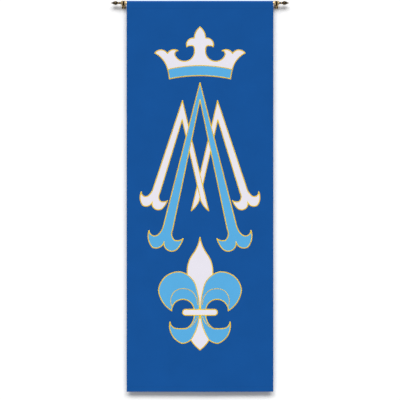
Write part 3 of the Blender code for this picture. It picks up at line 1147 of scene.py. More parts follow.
@dataclass
class BannerCloth:
    """The blue cloth: turned over the rod, sewn into a sleeve, and hemmed at its foot.

    Args:
        hang: How it hangs.
        width: Its width.
        height: From its foot to the top of its fold.
        axis: The y of the rod's axis.
        finish: Its material.
        thickness: Its thickness.
        layer_pitch: From the middle of its front layer to the middle of the one behind.
        seam_drop: From the top of its fold to the sleeve's seam.
        sleeve_tail: How far the sleeve's back layer goes on below that seam.
        hem: How far its foot is turned up.
        hem_seam: The height of the hem's seam.
        columns: How many faces it has across.
        row_step: How far apart its rows are.
        first_row: How far the first of those rows is below the rod's axis.
        foot_step: How far apart its last rows are.
        foot_gap: How far the last row is over the hem's fold.
        seam_rows: How far the rows next to a seam are from it.
        seam_gap: How far the other rows keep away from a seam.
        draw, draw_reach: How far a seam draws it in, and how far from the seam.
        ripple, ripple_reach: The same for the uneven part of the pull.
        ripple_waves: The lengths of the ripple, of its wandering, and of its swelling.
        seam_inset, seam_step: How far a row of stitches starts from the side edge, and how far
            apart the points are that it follows.
        thread_sink: How far the stitches sit in on the front, and stand off on the back.
    """

    hang: Hang
    width: float
    height: float
    axis: float
    finish: bpy.types.Material
    thickness: float = 1.2
    layer_pitch: float = 1.7
    seam_drop: float = 50.0
    sleeve_tail: float = 8.0
    hem: float = 34.0
    hem_seam: float = 29.0
    columns: int = 140
    row_step: float = 12.0
    first_row: float = 6.0
    foot_step: float = 4.0
    foot_gap: float = 3.5
    seam_rows: tuple[float, ...] = (0.0, 1.0, 2.0, 3.5, 5.0, 8.0)
    seam_gap: float = 10.0
    draw: float = 0.24
    draw_reach: float = 3.0
    ripple: float = 0.13
    ripple_reach: float = 9.0
    ripple_waves: tuple[float, float, float] = (3.1, 47.0, 29.0)
    seam_inset: float = 3.0
    seam_step: float = 3.0
    thread_sink: tuple[float, float] = (0.05, 0.2)

    @property
    def fold(self) -> float:
        """The radius of the cloth's middle line over the rod."""
        return self.height + self.hang.foot - self.thickness / 2

    def _drops(self, seams: Sequence[float]) -> np.ndarray:
        """The heights of the front's rows, closer together at the seams and near the foot.

        Args:
            seams: The seams' world heights.

        Returns:
            World heights, from the rod down to just over the hem's fold.
        """
        fine = np.array(self.seam_rows)
        near = np.concatenate([seam + sign * fine for seam in seams for sign in (-1, 1)])
        end = self.hang.foot + self.foot_gap
        even = np.arange(-self.first_row, end, -self.row_step)
        clear = np.abs(even[:, None] - np.array(seams)).min(axis=1) > self.seam_gap
        last = end + self.foot_step * np.arange(4)
        return np.unique(np.concatenate([near, even[clear], last]))[::-1]

    def _line(self) -> np.ndarray:
        """The cloth's middle line, from the sleeve's turned end to the hem's turned end.

        Returns:
            Points of y from the rod's axis and world z.
        """
        seam = self.height + self.hang.foot - self.seam_drop
        half, foot = self.layer_pitch / 2, self.hang.foot + self.thickness / 2
        face, inner = -self.fold, self.layer_pitch - self.fold
        back = math.atan2(seam, inner) + math.acos(self.fold / math.hypot(inner, seam))
        turns = np.linspace(back, math.pi, 49)
        over = np.stack([self.fold * np.cos(turns), self.fold * np.sin(turns)], axis=1)
        tail = np.linspace((inner, seam - self.sleeve_tail), (inner, seam), 6)[:-1]
        sleeve_back = np.linspace((inner, seam), over[0], 13)[:-1]
        drops = self._drops((seam, self.hang.foot + self.hem_seam))
        front = np.stack([np.full(len(drops), face), drops], axis=1)
        bend = np.linspace(math.pi, TURN, 9)
        turned = np.stack([half * np.cos(bend) + half + face, foot + half + half * np.sin(bend)], axis=1)
        up = np.linspace((inner, foot + half + 2), (inner, self.hang.foot + self.hem), 10)
        return np.concatenate([tail, sleeve_back, over, front, turned, up])

    def _pucker(self, x: np.ndarray, z: np.ndarray) -> np.ndarray:
        """How far the cloth is drawn in at its two seams, with the thread's uneven pull."""
        pull = 0.0
        short, wander, swell = self.ripple_waves
        for seam in (self.height - self.seam_drop, self.hem_seam):
            near = np.exp(-(((z - seam) / self.draw_reach) ** 2))
            wide = np.exp(-(((z - seam) / self.ripple_reach) ** 2))
            ripple = np.sin(x / short + 2 * np.sin(x / wander)) * np.sin(x / swell + seam)
            pull = pull + self.draw * near + self.ripple * wide * ripple
        return pull

    def build(self) -> bpy.types.Object:
        """Makes the cloth."""
        line = self._line()
        steps = np.linalg.norm(np.diff(line, axis=0), axis=1)
        run = np.concatenate([[0.0], np.cumsum(steps)])
        self.length = float(run[-1])
        across = np.linspace(-self.width / 2, self.width / 2, self.columns + 1)
        x = np.tile(across, len(line))
        y = np.repeat(line[:, 0] + self.axis, len(across))
        z = np.repeat(line[:, 1], len(across))
        above = z - self.hang.foot
        between = self.layer_pitch / 2 - self.fold
        inwards = np.repeat(np.where(line[:, 0] < between, 1.0, -1.0), len(across))
        y = y - self.hang.forward(x, above) + inwards * self._pucker(x, above)
        grid = np.arange(len(x)).reshape(len(line), -1)
        corners = (grid[:-1, :-1], grid[:-1, 1:], grid[1:, 1:], grid[1:, :-1])
        faces = np.stack([c.ravel() for c in corners], axis=1)
        mesh = mesh_of("banner_cloth", np.stack([x, y, z], axis=1), faces.tolist())
        lay_flat_coordinates(mesh, np.stack([x, np.repeat(run, len(across))], axis=1))
        mesh.shade_smooth()
        cloth = linked("banner_cloth", mesh, self.finish)
        wall = cloth.modifiers.new("thickness", "SOLIDIFY")
        wall.thickness = self.thickness * MM
        wall.offset = 0.0
        baked_copy(cloth)
        LOG.info("cloth: %.0f by %.0f mm before hanging", self.width, self.length)
        return hand_over(cloth, ("banner_panel",))

    def seams(self, thread: bpy.types.Material) -> list[bpy.types.Object]:
        """Makes the two rows of machine stitching, seen on the front and the back.

        Args:
            thread: The sewing thread's material.

        Returns:
            The sleeve's row and the hem's.
        """
        rows = []
        end = self.width / 2 - self.seam_inset
        across = np.arange(-end, end, self.seam_step)
        behind = self.layer_pitch + self.thickness
        sunk, proud = self.thread_sink
        for name, z in (
            ("sleeve_stitching", self.height - self.seam_drop),
            ("hem_stitching", self.hem_seam),
        ):
            flat = np.stack([across, np.full(len(across), z)], axis=1)
            pull = self._pucker(across, flat[:, 1])
            lifts = (-pull - sunk, pull - behind - proud)
            lines = lines_mesh(name, [(self.hang.placed(flat, lift), False) for lift in lifts])
            row = LOCKSTITCH.sewn(name, bpy.data.meshes.new(name), lines, thread)
            rows.append(hand_over(row))
        return rows


# The applied motifs


@dataclass(frozen=True)
class Applique:
    """One applied shape.

    Args:
        name: The piece's name.
        outline: Its cut edge, which the gold stitching covers.
        slot: The cloth it is cut from.
        nodes: The solids that it stands for.
    """

    name: str
    outline: Outline
    slot: Slot
    nodes: tuple[str, ...]


@dataclass(frozen=True)
class Rib:
    """A gold line worked on a shape.

    Args:
        points: The points along it.
    """

    points: tuple[Point, ...]

    def outline(self, width: float) -> Outline:
        """The outline of the line at a width."""
        line = np.array(self.points)
        way = np.gradient(line, axis=0)
        way = way / np.linalg.norm(way, axis=1, keepdims=True)
        side = np.stack([way[:, 1], -way[:, 0]], axis=1) * width / 2
        ring = np.concatenate([line + side, (line - side)[::-1]])
        return Outline(tuple(map(tuple, ring.tolist())))

    def mirrored(self) -> Rib:
        """The same line on the other side of the centre line, run the other way."""
        return Rib(tuple((-x, z) for x, z in reversed(self.points)))


@dataclass
class Motif:
    """Overlapping applied shapes, lowest first, with satin stitching along every edge that shows.

    Args:
        name: The motif's name.
        pieces: The shapes, lowest first.
        hang: The cloth they lie on.
        finishes: The material of each slot.
        edging_node: The solid that its edging stands for.
        split_edging: Whether the topmost shape's edging is a piece of its own.
        edging: How wide its edging is.
        pad_rise: How far the padding under the edging stands up.
        puff, puff_reach: How far a shape's cloth is puffed up, and how soon from its edging.
        edge_lift: How far the cloth's front is lifted at its cut edge.
        cloth_back, pad_back: How far the backs of the cloth and of the padding stand off.
        pad_foot: How far the padding's rim stands off.
        thread_lift: How far the line that the stitches follow stands off.
        cover: How much of its edging's width a shape hides of what lies under it.
        grid: How far apart the points within a shape are, sideways.
        row_pitch: How far apart their rows are, as a share of that.
        step: How far apart the points of its outline may be.
        made: The pieces made so far.
    """

    name: str
    pieces: list[Applique]
    hang: Hang
    finishes: dict[Slot, bpy.types.Material]
    edging_node: str
    split_edging: bool = False
    edging: float = 6.8
    pad_rise: float = 0.95
    puff: float = 0.55
    puff_reach: float = 2.6
    edge_lift: float = 0.35
    cloth_back: float = 0.1
    pad_back: float = 0.05
    pad_foot: float = 0.1
    thread_lift: float = 0.15
    cover: float = 0.4
    grid: float = 13.0
    row_pitch: float = 0.87
    step: float = 4.0
    made: list[bpy.types.Object] = field(default_factory=list)

    def uppers(self, piece: Applique) -> list[Applique]:
        """The shapes that lie over one."""
        return self.pieces[self.pieces.index(piece) + 1 :]

    def _grid_points(self, outline: Outline) -> list[Point]:
        """Evenly spaced places inside an outline, away from its edge."""
        ring = np.array(outline.points)
        low, high = ring.min(0), ring.max(0)
        x = np.arange(low[0], high[0], self.grid)
        z = np.arange(low[1], high[1], self.grid * self.row_pitch)
        spots = np.stack([c.ravel() for c in np.meshgrid(x, z)], axis=1)
        spots[:, 0] += np.repeat(np.arange(len(z)) % 2, len(x)) * self.grid / 2
        keep = outline.holds(spots) & (distance(spots, *outline.edges()) > self.grid * 0.45)
        return [tuple(p) for p in spots[keep].tolist()]

    def add_cloth(self, piece: Applique) -> None:
        """Makes what shows of one shape, a little puffed inside its stitched edge."""
        cut = piece.outline.spaced(self.step)
        over = [upper.outline.spaced(self.step) for upper in self.uppers(piece)]
        inner = [cut.offset(-self.edging / 2), cut.offset(-self.edging)]
        net = Net.through([cut, *inner, *over], self._grid_points(cut))
        centres = net.centres()
        shown = cut.holds(centres)
        for upper in over:
            shown &= ~upper.holds(centres)
        net = net.only(shown)
        lift = self.edge_lift + self.puff * (1 - np.exp(-net.depth() / self.puff_reach))
        mesh = raised_mesh(piece.name, net, self.hang, lift, self.cloth_back)
        obj = linked(piece.name, mesh, self.finishes[piece.slot])
        self.made.append(hand_over(obj, piece.nodes))

    def _pad(self, name: str, pieces: list[Applique]) -> bpy.types.Mesh:
        """The padding under the satin stitching: a rounded ridge along the edges that show."""
        half = self.edging / 2
        rings: dict[tuple[str, str], Outline] = {}
        for piece in self.pieces:
            middle = piece.outline.spaced(self.step)
            rings[piece.name, "edge"] = middle.offset(half)
            rings[piece.name, "middle"] = middle
            rings[piece.name, "hole"] = middle.offset(-half)
        net = Net.through(rings.values())
        centres = net.centres()
        gold = np.zeros(len(centres), bool)
        for piece in self.pieces:
            within = rings[piece.name, "edge"].holds(centres)
            ridge = ~rings[piece.name, "hole"].holds(centres)
            gold = np.where(within, ridge & (piece in pieces), gold)
        net = net.only(gold)
        depth = np.clip(net.depth() / half, 0, 1)
        lift = self.pad_foot + self.pad_rise * np.sqrt(1 - (1 - depth) ** 2)
        return raised_mesh(name, net, self.hang, lift, self.pad_back)

    def _edge_runs(self, piece: Applique) -> list[tuple[np.ndarray, bool]]:
        """The stretches of one shape's edge that no other shape covers."""
        line = np.array(spaced(piece.outline.points, 1.0, closed=True))
        hidden = np.zeros(len(line), bool)
        for upper in self.uppers(piece):
            hidden |= upper.outline.offset(self.edging * self.cover).holds(line)
        placed = self.hang.placed(line, self.thread_lift)
        if not hidden.any():
            return [(placed, True)]
        first = int(np.argmax(hidden))
        placed, hidden = np.roll(placed, -first, axis=0), np.roll(hidden, -first)
        breaks = np.flatnonzero(np.diff(hidden.astype(int))) + 1
        parts = zip(np.split(placed, breaks), np.split(hidden, breaks))
        return [(part, False) for part, covered in parts if not covered[0] and len(part) > 2]

    def add_edging(self, name: str, pieces: list[Applique]) -> None:
        """Makes the satin stitching of some of the shapes."""
        runs = [run for piece in pieces for run in self._edge_runs(piece)]
        lines = lines_mesh(f"{name}_lines", runs)
        obj = SATIN.sewn(name, self._pad(f"{name}_pad", pieces), lines, self.finishes[Slot.GOLD])
        self.made.append(hand_over(obj, (self.edging_node,)))

    def build(self) -> list[bpy.types.Object]:
        """Makes every piece of the motif."""
        for piece in self.pieces:
            self.add_cloth(piece)
        if self.split_edging:
            self.add_edging(f"{self.name}_upper_stitching", self.pieces[-1:])
            self.add_edging(f"{self.name}_lower_stitching", self.pieces[:-1])
        else:
            self.add_edging(f"{self.name}_stitching", self.pieces)
        return self.made


CROWN_BASE = 1951.0
CROWN_BODY = (
    (0, 82, -6),
    (201, 58, -14),
    (280, 160, 21),
    (203, 156, 14),
    (140, 175, -8),
    (156, 146, -52),
    (34, 174, 0),
    (35, 190, -8),
    (59, 206, -3),
    (82, 200, 20),
    (35, 252, 9),
    (0, 322, 0),
)
CROWN_BAND = ((0, 20, -5), (190, 0, -1), (201, 58, 6), (0, 82, 0))

FLEUR_BASE = 261.0
FLEUR_BAR = ((0, 216, 0), (90, 216, 18), (90, 252, 0), (0, 252, 0))
FLEUR_TOP_PETAL = (
    (0, 262, 0),
    (79, 460, 0),
    (79, 500, 7),
    (47, 592, -7),
    (0, 699, 0),
)
FLEUR_BOTTOM_PETAL = ((0, 0, 4), (56, 62, 0), (0, 205, 0))
FLEUR_PETAL = (
    (4, 232, 0),
    (36, 232, 0),
    (36, 250, -68),
    (177, 245, 17),
    (258, 370, 38),
    (120, 485, 15),
    (28, 405, 5),
    (4, 262, 0),
)
FLEUR_LEAF = (
    (4, 228, 12),
    (55, 65, 6),
    (112, 41, 28),
    (187, 172, -9),
    (150, 133, -2),
    (83, 133, -14),
    (36, 222, 0),
    (36, 236, 0),
    (4, 236, 0),
)
PETAL_RIB = ((15, 281, -8), (46, 361, -16), (150, 370, -17), (177, 274, 0))
LEAF_RIB = ((16, 205, 6), (63, 140, 0))

# A lancet is a pair of tapering legs under a point. Both kinds have the same foot, at their own
# size and turned outwards, about the middle of the leg's neck: the first row is the leg's inner
# side, the last its outer.
FOOT = (
    (-27.5, -14, -12),
    (-41.5, -80, -6),
    (-92.5, -70, 3),
    (-61.5, -128, 38),
    (24.5, -86, 20),
    (98.5, -121, 14),
    (118.5, -19, -20),
    (60.5, -43, -5),
    (27.5, 15, 0),
)
BLUE_APEX, BLUE_CROTCH = (0, 1924), (0, 1822)
BLUE_NECK, BLUE_FOOT_SIZE, BLUE_FOOT_TURN = (199, 1022.5), 1.0, 0.0
WHITE_APEX, WHITE_CROTCH = (109.5, 1812.5), (111, 1698)
WHITE_NECK, WHITE_FOOT_SIZE, WHITE_FOOT_TURN = (271.5, 1251), 0.79, 5.0
TAIL_TIP, TAIL_TIP_SWELL, TAIL_CORNER = (-53, 1130), 5, (-6, 1190)


def foot_rows(neck: Point, size: float, turn: float) -> tuple[Row, ...]:
    """The flared foot of a lancet's leg.

    Args:
        neck: The middle of the leg where the foot starts.
        size: The foot's size, as a share of the largest one.
        turn: How far its outer side is turned up, in degrees.

    Returns:
        Its corners from the inner side of the leg to the outer one.
    """
    across, up = size * math.cos(math.radians(turn)), size * math.sin(math.radians(turn))
    return tuple(
        (neck[0] + x * across - z * up, neck[1] + x * up + z * across, swell * size)
        for x, z, swell in FOOT
    )


def blue_lancet() -> Outline:
    """The tall middle lancet."""
    feet = foot_rows(BLUE_NECK, BLUE_FOOT_SIZE, BLUE_FOOT_TURN)
    return Outline.symmetric(((*BLUE_CROTCH, 0), *feet, (*BLUE_APEX, 0)), 0)


def white_lancet() -> Outline:
    """The right-hand side lancet, whose inner leg crosses the centre line to a slanted tip."""
    feet = foot_rows(WHITE_NECK, WHITE_FOOT_SIZE, WHITE_FOOT_TURN)
    tail = ((*WHITE_APEX, 0), (*TAIL_TIP, TAIL_TIP_SWELL), (*TAIL_CORNER, 0))
    return Outline.drawn(((*WHITE_CROTCH, 0), *feet, *tail), 0)


@dataclass
class AppliedWork:
    """All the applied motifs of the banner, from top to bottom.

    Args:
        hang: The cloth they lie on.
        finishes: The material of each slot.
        rib_lift, rib_rise: Where a gold line's padding starts, and how far it stands up.
        rib_sink: How far the padding goes into the petal.
        rib_share: How wide the padding is, as a share of a stitch.
        rib_step: How far apart the points along a line may be.
    """

    hang: Hang
    finishes: dict[Slot, bpy.types.Material]
    rib_lift: float = 0.75
    rib_rise: float = 0.6
    rib_sink: float = 0.25
    rib_share: float = 0.9
    rib_step: float = 1.5

    def crown(self) -> Motif:
        """A plain heraldic crown over a curved band."""
        body = Outline.symmetric(CROWN_BODY, CROWN_BASE)
        band = Outline.symmetric(CROWN_BAND, CROWN_BASE)
        pieces = [
            Applique("crown_cloth", body, Slot.WHITE, ("crown_body",)),
            Applique("crown_band_cloth", band, Slot.SKY, ("crown_band",)),
        ]
        return Motif("crown", pieces, self.hang, self.finishes, "crown_edging")

    def lancets(self) -> Motif:
        """Three interlaced lancets with flared feet."""
        right = white_lancet()
        right_nodes = tuple(f"lancet_white_right_{n}" for n in (1, 2, 3))
        left_nodes = tuple(f"lancet_white_left_{n}" for n in (1, 2))
        pieces = [
            Applique("white_lancet_right", right, Slot.WHITE, right_nodes),
            Applique("white_lancet_left", right.mirrored(), Slot.WHITE, left_nodes),
            Applique("blue_lancet", blue_lancet(), Slot.SKY, ("lancet_blue",)),
        ]
        return Motif("lancets", pieces, self.hang, self.finishes, "lancet_edging", split_edging=True)

    def fleur(self) -> Motif:
        """A fleur-de-lis bound by a crossbar."""
        pieces = []
        for part, rows in (("top", FLEUR_TOP_PETAL), ("bottom", FLEUR_BOTTOM_PETAL)):
            outline, nodes = Outline.symmetric(rows, FLEUR_BASE), (f"fleur_{part}_petal",)
            pieces.append(Applique(f"{part}_petal_cloth", outline, Slot.WHITE, nodes))
        for part, rows in (("petal", FLEUR_PETAL), ("leaf", FLEUR_LEAF)):
            right = Outline.drawn(rows, FLEUR_BASE)
            for side, outline in ((Side.LEFT, right.mirrored()), (Side.RIGHT, right)):
                nodes = (f"fleur_{part}_{side.label}",)
                pieces.append(Applique(f"side_{part}_{side.label}", outline, Slot.SKY, nodes))
        bar = Outline.symmetric(FLEUR_BAR, FLEUR_BASE)
        pieces.append(Applique("crossbar_cloth", bar, Slot.WHITE, ("fleur_bar",)))
        return Motif("fleur", pieces, self.hang, self.finishes, "fleur_edging")

    def ribs(self) -> bpy.types.Object:
        """The gold lines worked on the petals and leaves of the fleur-de-lis."""
        ribs = []
        for rows in (PETAL_RIB, LEAF_RIB):
            line = spaced(walk(rows, closed=False), self.rib_step, closed=False)
            rib = Rib(tuple((x, z + FLEUR_BASE) for x, z in line))
            ribs += [rib.mirrored(), rib]
        runs = [(self.hang.placed(np.array(rib.points), self.rib_lift), False) for rib in ribs]
        width = RIB_SATIN.span * self.rib_share
        outlines = [rib.outline(width) for rib in ribs]
        net = Net.through(outlines)
        centres = net.centres()
        net = net.only(np.any([outline.holds(centres) for outline in outlines], axis=0))
        rounded = np.sqrt(1 - (1 - np.clip(net.depth() * 2 / width, 0, 1)) ** 2)
        lift = self.rib_lift + self.rib_rise * rounded
        pad = raised_mesh("rib_pad", net, self.hang, lift, self.rib_lift - self.rib_sink)
        lines = lines_mesh("rib_lines", runs)
        obj = RIB_SATIN.sewn("fleur_rib_stitching", pad, lines, self.finishes[Slot.GOLD])
        nodes = [f"fleur_{part}_rib_{side.label}" for part in ("petal", "leaf") for side in Side]
        return hand_over(obj, nodes)

    def build(self) -> list[bpy.types.Object]:
        """Makes every motif."""
        made = []
        for motif in (self.crown(), self.lancets(), self.fleur()):
            made += motif.build()
        return [*made, self.ribs()]


# The rod and its fittings


@dataclass(frozen=True)
class Turning:
    """A shape turned about its own X axis.

    Args:
        rows: Distance along the axis, radius, and the swell of the arc to the next row.
        closed: Whether the last row joins the first, as on a ring.
        segments: How many faces it has round the axis.
    """

    rows: tuple[Row, ...]
    closed: bool = False
    segments: int = 64

    def mesh(self, name: str, place: Matrix) -> bpy.types.Mesh:
        """Makes the shape.

        Args:
            name: The mesh's name.
            place: Where its origin goes and how it is turned, in millimetres.

        Returns:
            The mesh.
        """
        profile = walk(self.rows, closed=self.closed, sag=METAL_SAG)
        points: list[tuple[float, float, float]] = []
        rings: list[list[int]] = []
        for along, radius in profile:
            count = self.segments if radius > 1e-6 else 1
            rings.append(list(range(len(points), len(points) + count)))
            for i in range(count):
                angle = TURN * i / self.segments
                points.append((along, radius * math.cos(angle), radius * math.sin(angle)))
        faces = []
        for a, b in zip(rings, rings[1:] + rings[:1] if self.closed else rings[1:]):
            for i in range(self.segments):
                j = (i + 1) % self.segments
                ring = (a[i % len(a)], a[j % len(a)], b[j % len(b)], b[i % len(b)])
                faces.append(tuple(dict.fromkeys(ring)))
        placed = np.array([(place @ Vector(p))[:] for p in points])
        mesh = mesh_of(name, placed, faces)
        face_outwards(mesh)
        return mesh


FINIAL = Turning(
    (
        (0.3, 0.0, 0),
        (0.3, 8.1, -0.2),
        (0.9, 8.7, 0),
        (2.4, 8.7, -0.2),
        (3.0, 8.1, 0),
        (3.5, 7.2, 0.4),
        (6.6, 6.1, 0),
        (13.2, 6.1, 0),
        (13.8, 6.3, -1.3),
        (18.0, 6.3, 0),
        (18.6, 6.1, 0.9),
        (26.0, 8.8, 0),
        (26.8, 9.6, -1.2),
        (35.0, 11.8, -0.7),
        (41.0, 10.6, -0.4),
        (53.0, 5.4, 0.2),
        (60.0, 2.7, 0),
        (65.2, 0.9, -0.3),
        (66.0, 0.0, 0),
    )
)
HOLDER = Turning(
    (
        (-14.0, 11.8, 0),
        (-14.0, 12.8, -0.2),
        (-13.4, 13.4, 0),
        (-9.7, 13.4, -1.7),
        (-5.3, 13.4, 0),
        (5.3, 13.4, -1.7),
        (9.7, 13.4, 0),
        (13.4, 13.4, -0.2),
        (14.0, 12.8, 0),
        (14.0, 11.8, 0),
    ),
    closed=True,
)
SCREW = Turning(((0.0, 0.0, 0), (0.0, 4.5, -0.15), (0.7, 4.5, -0.7), (2.4, 0.0, 0)), segments=40)


def boxed(size: Sequence[float], centre: Sequence[float], bevel: float) -> bpy.types.Mesh:
    """A box with its edges rounded.

    Args:
        size: Its sides, in millimetres.
        centre: Its middle, in millimetres.
        bevel: How far the edges are rounded, in millimetres.

    Returns:
        The mesh, in metres.
    """
    shape = bmesh.new()
    bmesh.ops.create_cube(shape, size=1.0)
    bmesh.ops.scale(shape, verts=shape.verts, vec=Vector(size) * MM)
    bmesh.ops.translate(shape, verts=shape.verts, vec=Vector(centre) * MM)
    if bevel:
        ways = {"affect": "EDGES", "segments": 3, "profile": 0.5}
        bmesh.ops.bevel(shape, geom=shape.edges, offset=bevel * MM, **ways)
    mesh = bpy.data.meshes.new("box")
    shape.to_mesh(mesh)
    shape.free()
    return mesh


def joined(target: bpy.types.Object, tools: Iterable[tuple[str, bpy.types.Mesh]]) -> None:
    """Joins shapes to an object, or cuts them from it, and makes the result plain mesh.

    Args:
        target: The object.
        tools: Each one's operation and mesh.
    """
    helpers = []
    for number, (operation, mesh) in enumerate(tools):
        helper = linked(f"{target.name}_tool_{number}", mesh, target.data.materials[0])
        modifier = target.modifiers.new(helper.name, "BOOLEAN")
        modifier.operation = operation
        modifier.object = helper
        helpers.append(helper)
    baked_copy(target)
    for helper in helpers:
        bpy.data.objects.remove(helper)


@dataclass
class WallRod:
    """The brass rod with its finials, brackets and screws.

    Args:
        finish: The brass of the rod and the brackets.
        dark: The brass of the finials.
        darkest: The brass of the screws: their own dark patina, made darker still as painted shade.
        rod_chamfer: How far the rod's ends are rounded.
        plate: A wall plate's width, depth and height.
        plate_corner, plate_bevel: How far its corners and its front edge are rounded.
        arm: The arm's width and height.
        arm_bevel: How far the arm's edges are rounded.
        arm_root, arm_overlap: How far the arm starts from the wall, and goes into the ring.
        screw_sink: How far a screw's head goes into the plate.
        screw_slot: The slot's length, depth and width.
        slot_turn: How far the first slot is turned, and each one more, in degrees.
    """

    finish: bpy.types.Material
    dark: bpy.types.Material
    darkest: bpy.types.Material
    rod_chamfer: float = 0.6
    plate: tuple[float, float, float] = (24.0, 3.5, 47.0)
    plate_corner: float = 3.0
    plate_bevel: float = 0.9
    arm: tuple[float, float] = (10.0, 10.0)
    arm_bevel: float = 1.2
    arm_root: float = 1.0
    arm_overlap: float = 0.5
    screw_sink: float = 0.3
    screw_slot: tuple[float, float, float] = (12.0, 1.0, 1.1)
    slot_turn: tuple[float, float] = (55.0, 35.0)

    def _finished(self, obj: bpy.types.Object, node: str, angle: float = 35) -> None:
        """Shades a piece, marks where it is rubbed, and hands it to the frame."""
        smooth(obj.data, angle)
        mark_rubbed(obj.data)
        hand_over(obj, (node,))

    def add_rod(self) -> None:
        """Makes the rod, its ends a little rounded."""
        low, high = (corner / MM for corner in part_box("rod"))
        length, radius = high.x - low.x, (high.z - low.z) / 2
        chamfer = self.rod_chamfer
        rows = (
            (0.0, 0.0, 0),
            (0.0, radius - chamfer, -chamfer / 3),
            (chamfer, radius, 0),
            (length - chamfer, radius, -chamfer / 3),
            (length, radius - chamfer, 0),
            (length, 0.0, 0),
        )
        place = Matrix.Translation((low.x, (low.y + high.y) / 2, (low.z + high.z) / 2))
        mesh = Turning(rows).mesh("rod_tube", place)
        self._finished(linked("rod_tube", mesh, self.finish), "rod")

    def add_finial(self, side: Side) -> None:
        """Makes one spear finial on the rod's end."""
        low, high = (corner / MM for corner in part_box("rod"))
        end = low.x if side is Side.LEFT else high.x
        place = Matrix.Translation((end, (low.y + high.y) / 2, (low.z + high.z) / 2))
        if side is Side.LEFT:
            place = place @ Matrix.Rotation(math.pi, 4, "Z")
        name = f"spear_finial_{side.label}"
        mesh = FINIAL.mesh(name, place)
        self._finished(linked(name, mesh, self.dark), f"finial_{side.label}")

    def _plate(self, low: Vector, high: Vector) -> bpy.types.Mesh:
        """The bracket's wall plate, its corners round and its front edge rounded over."""
        width, depth, height = self.plate
        centre = ((low.x + high.x) / 2, -depth / 2, low.z + height / 2)
        mesh = boxed(self.plate, centre, 0)
        shape = bmesh.new()
        shape.from_mesh(mesh)
        upright = [e for e in shape.edges if abs(e.verts[0].co.y - e.verts[1].co.y) > MM]
        ways = {"affect": "EDGES", "profile": 0.5}
        bmesh.ops.bevel(shape, geom=upright, offset=self.plate_corner * MM, segments=8, **ways)
        front = min(v.co.y for v in shape.verts)
        rim = [e for e in shape.edges if all(v.co.y < front + 0.1 * MM for v in e.verts)]
        bmesh.ops.bevel(shape, geom=rim, offset=self.plate_bevel * MM, segments=3, **ways)
        shape.to_mesh(mesh)
        shape.free()
        return mesh

    def add_bracket(self, side: Side) -> None:
        """Makes one bracket: a wall plate, an arm, and the beaded ring round the rod."""
        node = f"bracket_{side.label}"
        low, high = (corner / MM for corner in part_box(node))
        rod_low, rod_high = (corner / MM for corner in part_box("rod"))
        axis_y, axis_z = (rod_low.y + rod_high.y) / 2, (rod_low.z + rod_high.z) / 2
        middle = (low.x + high.x) / 2
        name = f"wall_bracket_{side.label}"
        bracket = linked(name, self._plate(low, high), self.finish)
        ring = HOLDER.mesh("holder", Matrix.Translation((middle, axis_y, axis_z)))
        reach = axis_y + HOLDER.rows[0][1] + self.arm_overlap
        size = (self.arm[0], -reach - self.arm_root, self.arm[1])
        arm = boxed(size, (middle, (reach - self.arm_root) / 2, axis_z), self.arm_bevel)
        joined(bracket, (("UNION", arm), ("UNION", ring)))
        self._finished(bracket, node, 30)

    def add_screw(self, side: Side, number: int) -> None:
        """Makes one slotted screw head on a bracket's plate."""
        node = f"screw_{side.label}_{number}"
        low, high = (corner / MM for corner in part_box(node))
        seat = Vector(((low.x + high.x) / 2, high.y + self.screw_sink, (low.z + high.z) / 2))
        place = Matrix.Translation(seat) @ Matrix.Rotation(-math.pi / 2, 4, "Z")
        name = f"slotted_{node}"
        head = linked(name, SCREW.mesh(name, place), self.darkest)
        length, depth, width = self.screw_slot
        top = seat.y - SCREW.rows[-1][0]
        first, more = self.slot_turn
        turn = Matrix.Rotation(math.radians(first + more * (number - 1)), 4, "Y")
        slot = boxed((length, 2 * depth, width), (0, 0, 0), 0)
        slot.transform(Matrix.Translation(Vector((seat.x, top, seat.z)) * MM) @ turn)
        joined(head, (("DIFFERENCE", slot),))
        self._finished(head, node)

    def build(self) -> None:
        """Makes the rod and all its fittings."""
        self.add_rod()
        for side in Side:
            self.add_finial(side)
            self.add_bracket(side)
            for number in (1, 2):
                self.add_screw(side, number)


# The room


